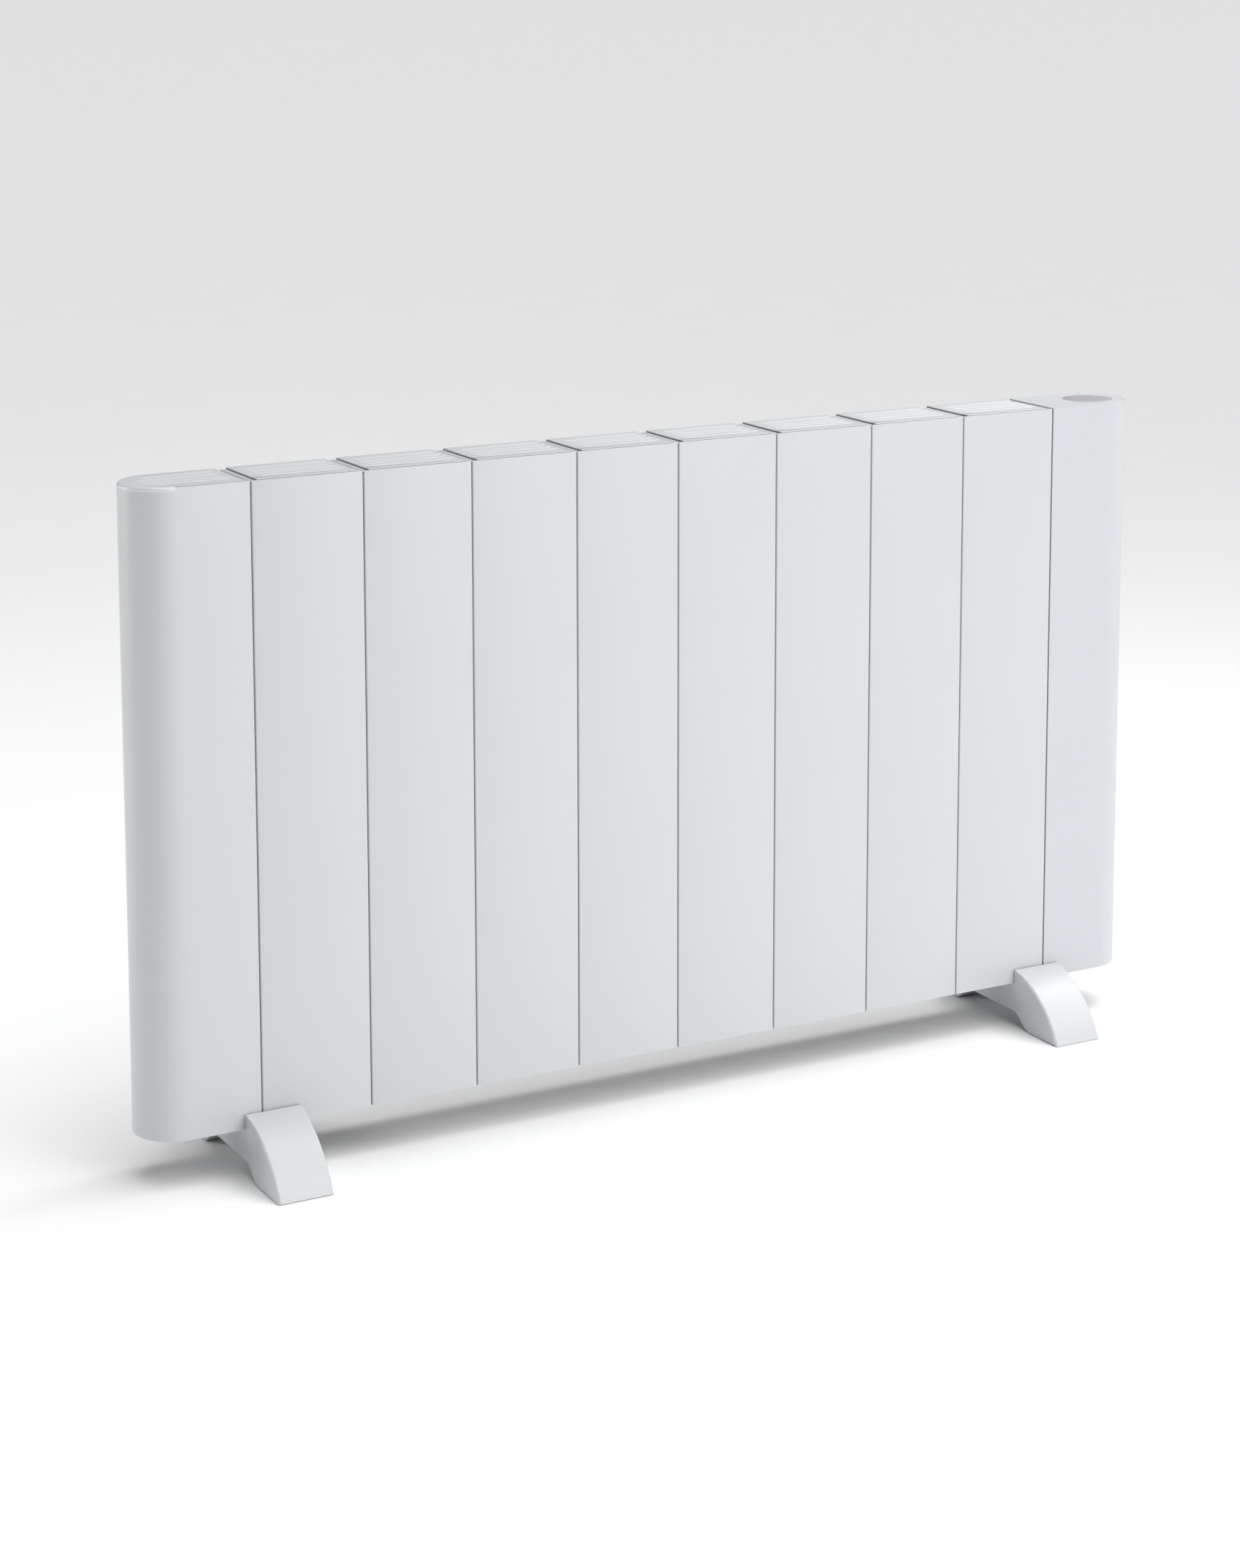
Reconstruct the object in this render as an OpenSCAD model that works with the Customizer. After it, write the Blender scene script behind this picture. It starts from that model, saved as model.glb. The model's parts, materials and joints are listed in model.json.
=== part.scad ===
// Oil filled radiator heater on two moulded feet.
// The origin lies on the floor under the middle of the radiator. X runs along the row of
// sections towards the control column, Y from the front panels to the back, Z up.

/* [Sections] */
// Number of heating sections, the rounded end section included
sections = 9; // [4:1:9]
// Distance between two neighbouring sections
pitch = 100; // [98:1:110]
// Height of the section panels
panel_h = 549; // [480:1:700]
// Depth over the front and back panels
depth = 70.5; // [68:0.5:80]
// Height of the panels' lower edge above the floor
floor_gap = 42; // [40:1:60]
// Open seam between two neighbouring sections
seam = 1.2; // [0.8:0.1:1.6]
// Sheet thickness of the section casings
wall = 2; // [1.5:0.1:2.2]

/* [Top caps] */
// Thickness of a top cap
cap_t = 3.5; // [3.2:0.1:5]
// Width of the groove between two caps
groove_w = 6.5; // [5.5:0.5:12]
// Depth of the groove below the caps' top faces
groove_drop = 1.5; // [1:0.1:3]
// Setback of a cap's front edge behind the front panels
cap_setback = 2.9; // [2.7:0.1:4]
// Distance between two flutes
flute_pitch = 12; // [10:0.5:13]
// Width of a flute at the top face
flute_w = 7; // [5:0.5:8]
// Depth of a flute
flute_d = 2; // [1:0.1:2.4]
// Width of the air slot in the floor of a flute
air_slot_w = 2.4; // [1.6:0.1:3]

/* [Oil circuit] */
// Outer radius of the upper and lower header
header_r = 22; // [20:0.5:23]
// Inner radius of the headers
header_bore_r = 17; // [16:0.5:18]
// Distance of a header's axis from the panels' end
header_inset = 48; // [44:1:60]
// Outer radius of the oil riser of a core
riser_r = 14; // [12:0.5:15]
// Inner radius of the oil riser
riser_bore_r = 11; // [8:0.5:11]
// Thickness of a cooling fin
fin_t = 1.4; // [1:0.1:2]
// Distance between two cooling fins
fin_pitch = 15; // [12:0.5:18]

/* [Control column] */
// Width of the control column
column_w = 100; // [96:1:120]
// Wall thickness of the column shell
shell_wall = 2.5; // [2:0.1:3]
// Width of the shell's rim that shows round the lid
rim_w = 1.2; // [1:0.1:1.5]
// Thickness of the lid
lid_t = 3; // [2.5:0.1:4]
// Radius of the control dial
dial_r = 23; // [18:0.5:24]
// Angle that the mains rocker tips through
rocker_tilt = 16; // [8:1:20]

/* [Feet] */
// Width of a foot along the radiator
foot_w = 50; // [44:1:60]
// Distance from a foot's middle to the radiator's end
foot_inset = 109; // [107:1:110]
// Reach of a toe beyond the panel
toe_reach = 70; // [55:1:90]
// Length of a toe's flat base
toe_base = 44.5; // [36:0.5:46]
// Height of the foot's lip above the panels' lower edge
lip_h = 13.5; // [8:0.5:20]
// Height of the arch under the foot
arch_h = 15; // [10:0.5:16]
// Radius of the bowed top of a toe
bow_r = 95; // [90:1:140]

/* [Hidden] */
$fn = 64;

width = sections * pitch + column_w;
left_x = -width / 2;
column_x = left_x + sections * pitch;
end_x = left_x + width;
low_z = floor_gap;
top_z = floor_gap + panel_h;
half_d = depth / 2;
cap_z = top_z - cap_t;          // underside of the caps
groove_z = top_z - groove_drop; // floor of the grooves
cut = 1;                        // overshoot of a cutting solid

low_header_z = low_z + header_inset;
high_header_z = top_z - header_inset;
header_zs = [low_header_z, high_header_z];
gasket_t = 3;                   // thickness of the gasket between two cores
core_end = gasket_t / 2;        // a core stops this far before the section's edge
header_hole_r = header_r + 1;   // hole in a casing for a header
fin_gap = 30;                   // from a header's axis to the ends of the fins
nipple_l = 24;                  // length of a header nipple
nipple_r = header_bore_r - 0.1;
nipple_bore_r = nipple_r - 3;

round_x = end_x - half_d;       // axis of the column's rounded end and of the dial
inner_r = half_d - shell_wall;  // inside radius of the rounded end
shell_x = column_x + seam / 2;
shield_x = shell_x + 1.4;       // hot side of the heat shield
sheet_t = 1.5;                  // steel sheet of the shield and the chassis
chassis_y = 20.5;
chassis_x = shield_x + sheet_t;
chassis_low_z = low_z + 120;
shelf_z = top_z - 41.5;         // shelf that carries the thermostat
board_y = 10;
board_t = 1.6;
board_x = chassis_x + 9;
board_w = 60;
board_z = low_z + 190;
board_h = 130;
switch_x = column_x + 52;       // rocker and cable gland, one above the other
switch_z = low_z + 84;
gland_z = low_z + 40;
gland_bore_r = 3.75;
column_screw_x = shell_x + 9;
column_screw_zs = [for (k = [0 : 3]) low_z + 30 + k * (panel_h - 60) / 3];
shaft_r = 3;
fit = 0.05;                     // radial clearance of a shaft in its bore

rocker_l = 22;                  // opening for the rocker, along Z
rocker_w = 12;                  // opening for the rocker, along X
rocker_r = 10.7;                // ends of the rocker, about its pin
pin_y = half_d - 3;             // axis of the rocker's pin
pin_r = 1;

foot_base_z = 0.6;              // the rubber pads stand this far out of the feet
pad_r = 12;
pad_t = 2.6;
pad_y = half_d + toe_reach - 21;
foot_xs = [left_x + foot_inset, end_x - foot_inset];
foot_sides = [-1, 1];
clamp_x = width / 2 - foot_inset - 10;   // straps, clear of the seams
screw_y = 13;

white_paint = [0.87, 0.88, 0.89];
white_plastic = [0.91, 0.92, 0.92];
dial_grey = [0.77, 0.75, 0.78];
cast_grey = [0.66, 0.67, 0.68];
steel = [0.72, 0.73, 0.74];
brass = [0.78, 0.66, 0.36];
black = [0.12, 0.12, 0.13];

// ---------------------------------------------------------------- helpers

// Left edge of section n, counted from 1
function section_x(n) = left_x + (n - 1) * pitch;

// Oil riser of section n; the first one stands clear of the rounded end
function riser_x(n) = section_x(n) + (n == 1 ? pitch / 2 + 12 : pitch / 2);

// A rod along X from x0 to x1
module rod_x(r, x0, x1, y, z) {
    translate([x0, y, z]) rotate([0, 90, 0]) cylinder(r = r, h = x1 - x0);
}

// A rod along Y from y0 to y1
module rod_y(r, y0, y1, x, z) {
    translate([x, y0, z]) rotate([-90, 0, 0]) cylinder(r = r, h = y1 - y0);
}

// A box between two opposite corners
module block(low, high) {
    translate(low) cube(high - low);
}

// A rod along Z from z0 to z1
module rod_z(r, z0, z1, x, y) {
    translate([x, y, z0]) cylinder(r = r, h = z1 - z0);
}

// A side view, drawn with Y to the right and Z up, carried along X from x0 to x1
module side_view(x0, x1) {
    translate([x0, 0, 0]) rotate([90, 0, 90]) linear_extrude(x1 - x0) children();
}

// ---------------------------------------------------------------- sections

// Plan of section n, drawn in by inset on every side
module section_plan(n, inset) {
    x0 = section_x(n);
    x1 = x0 + pitch - seam / 2 - inset;
    straight_x = n == 1 ? x0 + half_d : x0 + seam / 2 + inset;
    if (n == 1) translate([straight_x, 0]) circle(r = half_d - inset);
    translate([straight_x, inset - half_d]) square([x1 - straight_x, depth - 2 * inset]);
}

// Painted casing: a tube open at both ends, with a taller front panel and, on
// the left, the raised ledge that makes the floor of the groove beside the cap
module casing(n) {
    x0 = section_x(n);
    panel_x = n == 1 ? x0 + half_d : x0 + seam / 2;
    x1 = x0 + pitch - seam / 2;
    color(white_paint) difference() {
        union() {
            difference() {
                translate([0, 0, low_z]) linear_extrude(cap_z - low_z) section_plan(n, 0);
                translate([0, 0, low_z - cut]) linear_extrude(panel_h) section_plan(n, wall);
            }
            block([panel_x, -half_d, cap_z - wall], [x1, wall - half_d, top_z]);
            if (n > 1) {
                ledge_gap = 0.2;
                block([panel_x, -half_d, cap_z - wall], [panel_x + wall, half_d, groove_z]);
                block([panel_x, -half_d, groove_z - wall],
                      [x0 + groove_w - ledge_gap, half_d, groove_z]);
            }
        }
        for (z = header_zs) {
            rod_x(header_hole_r, x0 + (n == 1 ? pitch / 2 : -cut), x0 + pitch, 0, z);
        }
    }
}

// Plan of cap n. The first one covers the whole rounded end.
module cap_plan(n) {
    x1 = section_x(n) + pitch - seam / 2;
    straight_x = n == 1 ? section_x(n) + half_d : section_x(n) + groove_w;
    corner_r = 4;
    if (n == 1) intersection() {
        translate([straight_x, 0]) circle(r = half_d);
        translate([section_x(n), -half_d]) square([half_d, depth]);
    }
    difference() {
        translate([straight_x, cap_setback - half_d])
            square([x1 - straight_x, depth - cap_setback]);
        translate([x1 - corner_r, half_d - corner_r]) difference() {
            square(corner_r + cut);
            circle(r = corner_r);
        }
    }
}

// A flute with coned ends and the air slot in its floor
module flute(x0, x1, y) {
    r = (pow(flute_w / 2, 2) + pow(flute_d, 2)) / (2 * flute_d);
    cone = 3;
    l = x1 - x0;
    translate([x0, y, top_z + r - flute_d]) rotate([0, 90, 0])
        rotate_extrude() polygon([[0, 0], [r, cone], [r, l - cone], [0, l]]);
    block([x0 + 2 * cone, y - air_slot_w / 2, cap_z - cut],
          [x1 - 2 * cone, y + air_slot_w / 2, top_z]);
}

// The wedge that lets a cap's right end at x fall away towards the groove
module cap_fall(x) {
    fall_w = 4.5;
    fall = 1.2;
    translate([0, half_d + cut, 0]) rotate([90, 0, 0]) linear_extrude(depth + 2 * cut)
        polygon([[x - fall_w, top_z], [x + cut, top_z - fall * (fall_w + cut) / fall_w],
                 [x + cut, top_z + cut], [x - fall_w, top_z + cut]]);
}

module cap(n) {
    x0 = section_x(n);
    round_end_r = 27;            // arc through the left ends of the first cap's flutes
    skirt_h = 6;
    skirt_t = 1.5;
    skirt_gap = 0.4;
    inset = wall + skirt_gap;
    skirt_x0 = x0 + (n == 1 ? half_d : groove_w + skirt_gap);
    skirt_x1 = x0 + pitch - seam / 2 - inset;
    color(white_paint) difference() {
        union() {
            translate([0, 0, cap_z]) linear_extrude(cap_t) cap_plan(n);
            difference() {
                block([skirt_x0, inset - half_d, cap_z - skirt_h],
                      [skirt_x1, half_d - inset, cap_z + cut]);
                block([skirt_x0 + skirt_t, inset + skirt_t - half_d, cap_z - skirt_h - cut],
                      [skirt_x1 - skirt_t, half_d - inset - skirt_t, cap_z]);
            }
        }
        cap_fall(x0 + pitch - seam / 2);
        for (k = [-1.5 : 1 : 1.5]) {
            y = k * flute_pitch;
            round_start = half_d + 7.5 - sqrt(round_end_r * round_end_r - y * y);
            start = n == 1 ? round_start : groove_w + 8.5;
            end = n == 1 ? pitch - 8.5 : pitch - 6.5;
            flute(x0 + start, x0 + end, y);
        }
    }
}

// Cast core: two headers, the oil riser between them and the fins that press
// against the panels
module core(n) {
    x0 = section_x(n);
    head_x0 = x0 + (n == 1 ? 20 : core_end);
    head_x1 = x0 + pitch - core_end;
    fins = 4;
    fin_z0 = low_header_z + fin_gap;
    fin_z1 = high_header_z - fin_gap;
    web_l = (fins - 1) * fin_pitch;
    color(cast_grey) difference() {
        union() {
            for (z = header_zs) rod_x(header_r, head_x0, head_x1, 0, z);
            rod_z(riser_r, low_header_z, high_header_z, riser_x(n), 0);
            intersection() {
                translate([0, 0, fin_z0]) linear_extrude(fin_z1 - fin_z0) union() {
                    translate([riser_x(n) - web_l / 2, -fin_t / 2]) square([web_l, fin_t]);
                    for (k = [0 : fins - 1]) {
                        translate([riser_x(n) - web_l / 2 + k * fin_pitch - fin_t / 2, -half_d])
                            square([fin_t, depth]);
                    }
                }
                translate([0, 0, low_z]) linear_extrude(panel_h) section_plan(n, wall);
            }
        }
        for (z = header_zs) rod_x(header_bore_r, head_x0 - cut, head_x1 + cut, 0, z);
        rod_z(riser_bore_r, low_header_z, high_header_z, riser_x(n), 0);
    }
}

// ---------------------------------------------------------------- oil circuit

module header_nipples() {
    color(steel) for (n = [2 : sections], z = header_zs) difference() {
        rod_x(nipple_r, section_x(n) - nipple_l / 2, section_x(n) + nipple_l / 2, 0, z);
        rod_x(nipple_bore_r, section_x(n) - nipple_l, section_x(n) + nipple_l, 0, z);
    }
}

module header_gaskets() {
    color(black) for (n = [2 : sections], z = header_zs) difference() {
        rod_x(header_r, section_x(n) - core_end, section_x(n) + core_end, 0, z);
        rod_x(header_bore_r, section_x(n) - gasket_t, section_x(n) + gasket_t, 0, z);
    }
}

// Blind plugs in the left ends of both headers
module header_plugs() {
    head_x = left_x + 20;
    color(steel) for (z = header_zs) {
        translate([head_x - 7, 0, z]) rotate([0, 90, 0]) cylinder(r = 20, h = 7, $fn = 6);
        rod_x(nipple_r, head_x - cut, head_x + 12, 0, z);
    }
}

// Filling plug at the control end of the upper header
module fill_plug() {
    head_x = column_x - core_end;
    color(brass) {
        rod_x(nipple_r, head_x - 12, head_x + cut, 0, high_header_z);
        translate([head_x, 0, high_header_z]) rotate([0, 90, 0]) cylinder(r = 20, h = 8, $fn = 6);
        rod_x(7, head_x + 7, head_x + 11, 0, high_header_z);
    }
}

// Immersion element: a hairpin of sheathed rod along the lower header
rod_r = 4;
rod_gap = 7;                     // from the header's axis to a rod's axis
flange_x = column_x;
rod_end_x = left_x + 60;

module heating_element() {
    head_l = 12;
    terminal_l = 10;
    color(steel) {
        for (side = [-1, 1]) {
            rod_x(rod_r, rod_end_x, flange_x + cut, 0, low_header_z + side * rod_gap);
            rod_x(2, flange_x + head_l, flange_x + head_l + terminal_l, 0,
                  low_header_z + side * rod_gap);
        }
        translate([rod_end_x, 0, low_header_z]) rotate([-90, 0, 0]) rotate([0, 0, 90])
            rotate_extrude(angle = 180) translate([rod_gap, 0]) circle(r = rod_r);
        rod_x(header_r, flange_x, flange_x + 6, 0, low_header_z);
        rod_x(14, flange_x + 5, flange_x + head_l + cut, 0, low_header_z);
    }
}

module element_gasket() {
    color(black) difference() {
        rod_x(header_r, column_x - core_end, flange_x, 0, low_header_z);
        rod_x(header_bore_r, column_x - gasket_t, flange_x + cut, 0, low_header_z);
    }
}

// ---------------------------------------------------------------- control column

// Plan of the column, drawn in by inset and open towards the sections
module column_plan(inset) {
    translate([round_x, 0]) circle(r = half_d - inset);
    translate([shell_x, inset - half_d]) square([round_x - shell_x, depth - 2 * inset]);
}

module column_shell() {
    color(white_plastic) difference() {
        translate([0, 0, low_z]) linear_extrude(panel_h) column_plan(0);
        translate([0, 0, low_z - cut]) linear_extrude(panel_h + 2 * cut) union() {
            column_plan(shell_wall);
            translate([shell_x - cut, shell_wall - half_d])
                square([2 * cut, depth - 2 * shell_wall]);
        }
        // rebate for the lid
        translate([0, 0, top_z - lid_t]) linear_extrude(lid_t + cut) union() {
            column_plan(rim_w);
            translate([shell_x - cut, rim_w - half_d]) square([2 * cut, depth - 2 * rim_w]);
        }
        // openings for the switch housing and the gland, and the screw holes
        block([switch_x - 7.7, half_d - 2 * shell_wall, switch_z - 13.2],
              [switch_x + 7.7, half_d + cut, switch_z + 13.2]);
        rod_y(6.6, half_d - 2 * shell_wall, half_d + cut, switch_x, gland_z);
        for (z = column_screw_zs) rod_y(2.2, half_d - 2 * shell_wall, half_d + cut, column_screw_x, z);
    }
}

// Pan head screws that hold the shell to the heat shield's flange
module column_screws() {
    color(steel) for (z = column_screw_zs) difference() {
        union() {
            rod_y(1.9, half_d - 9, half_d + cut / 2, column_screw_x, z);
            rod_y(3.6, half_d, half_d + 1.8, column_screw_x, z);
        }
        for (turn = [0, 90]) translate([column_screw_x, half_d + 1.8, z]) rotate([0, turn, 0])
            cube([4.4, 2, 0.9], center = true);
    }
}

// Steel plate between the hot sections and the control column
module heat_shield() {
    half_w = inner_r - 0.3;
    flange_l = 16;
    color(steel) difference() {
        union() {
            block([shield_x, -half_w, low_z + 6], [chassis_x, half_w, top_z - 8]);
            block([shield_x, half_w - sheet_t, low_z + 6], [shield_x + flange_l, half_w, top_z - 8]);
            block([shield_x, -half_w, low_z + 6], [shield_x + flange_l, sheet_t - half_w, top_z - 8]);
        }
        for (z = header_zs) rod_x(header_hole_r, shield_x - cut, chassis_x + cut, 0, z);
        for (z = column_screw_zs) rod_y(2, half_w - 2 * sheet_t, half_w + cut, column_screw_x, z);
    }
}

module column_lid() {
    gap = 0.3;
    cup_r = dial_r + gap;
    cup_z = top_z - 9.5;
    color(white_plastic) difference() {
        union() {
            translate([0, 0, top_z - lid_t]) linear_extrude(lid_t) intersection() {
                column_plan(rim_w + gap / 2);
                translate([shell_x + gap, -half_d]) square([column_w, depth]);
            }
            rod_z(cup_r + 1.5, cup_z, top_z - cut, round_x, 0);
        }
        rod_z(cup_r, cup_z + 1.5, top_z + cut, round_x, 0);
        rod_z(6.6, cup_z - cut, top_z, round_x, 0);
    }
}

// Bottom cover with five air slots for the temperature probe
module column_base() {
    base_t = 2.5;
    gap = 0.2;
    color(white_plastic) difference() {
        translate([0, 0, low_z]) linear_extrude(base_t) intersection() {
            column_plan(shell_wall + gap);
            translate([chassis_x + gap, -half_d]) square([column_w, depth]);
        }
        for (k = [-2 : 2]) block([round_x - 12, k * 7 - 1.5, low_z - cut],
                                 [round_x + 12, k * 7 + 1.5, low_z + base_t + cut]);
    }
}

// Upright plate for the electrical parts, with the thermostat's shelf on top
module chassis() {
    plate_x1 = round_x + 17;
    color(steel) {
        block([chassis_x, chassis_y, chassis_low_z], [plate_x1, chassis_y + sheet_t, shelf_z + sheet_t]);
        block([chassis_x, 6, chassis_low_z + 40], [chassis_x + sheet_t, chassis_y + cut / 2, shelf_z - 60]);
        block([round_x - 19, -15, shelf_z], [plate_x1, chassis_y + cut / 2, shelf_z + sheet_t]);
    }
}

module board_corners() {
    for (x = [board_x + 5, board_x + board_w - 5], z = [board_z + 5, board_z + board_h - 5])
        translate([x, 0, z]) children();
}

module board_spacers() {
    color(brass) board_corners() rod_y(2.5, board_y + board_t, chassis_y, 0, 0);
}

// Circuit board with its capacitor, choke and connector
module power_board() {
    color([0.12, 0.35, 0.2]) {
        block([board_x, board_y, board_z], [board_x + board_w, board_y + board_t, board_z + board_h]);
        board_corners() rod_y(2.2, board_y - 2, board_y, 0, 0);
        rod_y(8, board_y - 16, board_y, board_x + 16, board_z + 26);
        block([board_x + 30, board_y - 12, board_z + 14], [board_x + 52, board_y, board_z + 38]);
        block([board_x + 12, board_y - 9, board_z + board_h - 22],
              [board_x + 48, board_y, board_z + board_h - 12]);
    }
}

module relays() {
    relay = [18, 15.5, 29];
    color(black) for (x = [board_x + 10, board_x + 32])
        translate([x, board_y - relay[1], board_z + 56]) cube(relay);
}

// Five way mains terminal block with a clamping screw hole and a wire hole each
module terminal_block() {
    ways = 5;
    way = 11;
    low = [board_x, chassis_y - 18, chassis_low_z + 10];
    color(white_plastic) difference() {
        block(low, low + [ways * way, 18, 22]);
        for (k = [0 : ways - 1]) {
            x = low[0] + (k + 0.5) * way;
            rod_y(3, low[1] - cut, low[1] + 9, x, low[2] + 11);
            rod_z(2, low[2] - cut, low[2] + 22 + cut, x, low[1] + 11);
        }
    }
}

// Two silicone leads from the element's terminals, under push-on boots, up to the terminal block
module element_leads() {
    lead_r = 1.8;
    bend_r = 6;
    start_x = flange_x + 22;
    block_z = chassis_low_z + 10;
    lead_y = chassis_y - 7;
    color([0.75, 0.2, 0.15]) for (side = [-1, 1]) {
        x = board_x + 16.5 + (side + 1) * 5.5;
        z = low_header_z + side * rod_gap;
        difference() {
            rod_x(3, start_x - 6, start_x + 2, 0, z);
            rod_x(2.1, start_x - 6 - cut, start_x + 0.1, 0, z);
        }
        rod_x(lead_r, start_x + cut, x + lead_r, 0, z);
        rod_y(lead_r, 0, lead_y, x, z);
        rod_z(lead_r, z, block_z + 8, x, lead_y);
    }
}

module earth_stud() {
    x = chassis_x + 72;
    z = chassis_low_z + 20;
    color(brass) {
        rod_y(2, chassis_y - 14, chassis_y, x, z);
        translate([x, chassis_y - 4, z]) rotate([-90, 0, 0]) cylinder(r = 4, h = 3.2, $fn = 6);
        rod_y(4.5, chassis_y - 0.8, chassis_y, x, z);
    }
}

// Snap disc cut-out clipped to the heat shield
module thermal_cutout() {
    z = low_header_z + 44;
    color(black) {
        rod_x(9, chassis_x, chassis_x + 7, -8, z);
        for (side = [-1, 1]) block([chassis_x + 6, -8 + side * 5 - 3, z - 0.4],
                                   [chassis_x + 14, -8 + side * 5 + 3, z + 0.4]);
    }
}

// Air probe near the bottom slots, with its lead up to the board's side
module temperature_probe() {
    x = round_x + 17;
    y = board_y + board_t / 2;
    color(steel) {
        rod_z(3, low_z + 10, low_z + 50, x, y);
        rod_z(1.2, low_z + 49, board_z + 10, x, y);
        rod_x(1.2, board_x + board_w, x + 1.2, y, board_z + 10);
    }
}

// ---------------------------------------------------------------- controls

dial_boss_z = top_z - 14;        // lower end of the dial's boss
thermostat_z = top_z - 20;       // top of the thermostat's body

// Flush disc with the boss that takes the shaft
module control_dial() {
    dial_t = 3;
    color(dial_grey) difference() {
        union() {
            rod_z(dial_r, top_z - dial_t, top_z, round_x, 0);
            rod_z(6, dial_boss_z, top_z - dial_t + cut / 2, round_x, 0);
        }
        rod_z(shaft_r, dial_boss_z - cut, top_z - 5, round_x, 0);
    }
}

module thermostat_shaft() {
    color(steel) rod_z(shaft_r, top_z - 30, top_z - 5, round_x, 0);
}

// Rotary thermostat: body, bearing bush for the shaft and two terminals
module thermostat() {
    body = [36, 30];
    color(black) difference() {
        union() {
            block([round_x - body[0] / 2, -body[1] / 2, shelf_z + sheet_t],
                  [round_x + body[0] / 2, body[1] / 2, thermostat_z]);
            rod_z(5, thermostat_z - cut, dial_boss_z - 1, round_x, 0);
            for (side = [-1, 1]) block([round_x - 27, side * 7 - 3, shelf_z + 8],
                                       [round_x - 17, side * 7 + 3, shelf_z + 8.8]);
        }
        rod_z(shaft_r + fit, top_z - 31, top_z, round_x, 0);
    }
}

// Switch body that snaps into the back wall and carries the rocker's pin
module switch_housing() {
    bezel_t = 2;
    open_l = rocker_l;
    open_w = rocker_w;
    color(black) difference() {
        union() {
            block([switch_x - 9, half_d, switch_z - 15], [switch_x + 9, half_d + bezel_t, switch_z + 15]);
            block([switch_x - 7.5, half_d - 18, switch_z - 13],
                  [switch_x + 7.5, half_d + cut, switch_z + 13]);
            for (side = [-1, 1]) block([switch_x - 3, half_d - 27, switch_z + side * 7 - 0.4],
                                       [switch_x + 3, half_d - 17, switch_z + side * 7 + 0.4]);
        }
        block([switch_x - open_w / 2, half_d - 15, switch_z - open_l / 2],
              [switch_x + open_w / 2, half_d + 2 * bezel_t, switch_z + open_l / 2]);
        rod_x(pin_r + fit, switch_x - open_w / 2 - 1.2, switch_x + open_w / 2 + 1.2, pin_y, switch_z);
    }
}

// Rocker, resting in its off position: two shallow facets meet above the pin
module rocker() {
    half_w = rocker_w / 2 - 0.4;
    face_y = 4.6;
    rise = 1.6;
    color(black) translate([switch_x, pin_y, switch_z]) rotate([rocker_tilt / 2, 0, 0]) {
        side_view(-half_w, half_w) intersection() {
            circle(r = rocker_r);
            polygon([[-4, -12], [face_y + rise, -12], [face_y, 0], [face_y + rise, 12], [-4, 12]]);
        }
        rod_x(pin_r, -half_w - 1, half_w + 1, 0, 0);
    }
}

// Gland for the mains lead, through the lower part of the back wall
module cable_gland() {
    color(black) difference() {
        union() {
            rod_y(6.5, half_d - 12, half_d + cut, switch_x, gland_z);
            rod_y(9, half_d, half_d + 3, switch_x, gland_z);
            rod_y(6.8, half_d + 2, half_d + 6, switch_x, gland_z);
        }
        rod_y(gland_bore_r, half_d - 12 - cut, half_d + 6 + cut, switch_x, gland_z);
    }
}

module gland_nut() {
    color(black) difference() {
        translate([switch_x, half_d - shell_wall - 4, gland_z]) rotate([-90, 0, 0])
            cylinder(r = 9.5, h = 4, $fn = 6);
        rod_y(6.5, half_d - 12, half_d, switch_x, gland_z);
    }
}

// ---------------------------------------------------------------- feet

toe_tip = [-half_d - toe_reach, foot_base_z];
lip_gap = 1.2;                   // notch between the lip and the panel
lip_t = 1.2;                     // width of the lip's top edge
lip_top = [-half_d - lip_gap - lip_t, low_z + lip_h];
arch_steps = 10;

// Centre of the arc of radius r from a to b that bows to the left of a to b
function bow_centre(a, b, r) =
    let (chord = b - a, mid = (a + b) / 2, l = norm(chord), sag = sqrt(r * r - l * l / 4))
    mid + sag * [chord[1], -chord[0]] / l;

// Points along that arc
function bow(a, b, r, steps) =
    let (c = bow_centre(a, b, r),
         a0 = atan2(a[1] - c[1], a[0] - c[0]),
         a1 = atan2(b[1] - c[1], b[0] - c[0]))
    [for (k = [0 : steps]) c + r * [cos(a0 + (a1 - a0) * k / steps), sin(a0 + (a1 - a0) * k / steps)]];

// Points of the arch's flank, a soft S from the toe's base up to the arch
function flank(steps) =
    let (y0 = toe_tip[0] + toe_base, y1 = -half_d)
    [for (k = [0 : steps])
        [y0 + (y1 - y0) * k / steps, foot_base_z + (arch_h - foot_base_z) * (1 - cos(180 * k / steps)) / 2]];

// The foot's side view: one half, from the arch round the toe to the seat, and its mirror image
function half_foot() = concat(
    [for (k = [arch_steps : -1 : 0]) flank(arch_steps)[k]],
    bow(toe_tip, lip_top, bow_r, 16),
    [lip_top + [lip_t, 0], [-half_d - lip_gap, low_z]]
);
function foot_outline() =
    let (half = half_foot(), last = len(half) - 1)
    concat(half, [for (k = [last : -1 : 0]) [-half[k][0], half[k][1]]]);

module foot(x) {
    color(white_plastic) difference() {
        side_view(x - foot_w / 2, x + foot_w / 2) polygon(foot_outline());
        for (side = foot_sides) {
            translate([sign(x) * clamp_x, side * screw_y, 0]) {
                cylinder(r = 3.3, h = low_z + cut);
                cylinder(r = 6.6, h = low_z - 12);
            }
            translate([x, side * pad_y, 0]) cylinder(r = pad_r + 0.1, h = pad_t);
        }
    }
}

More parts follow.
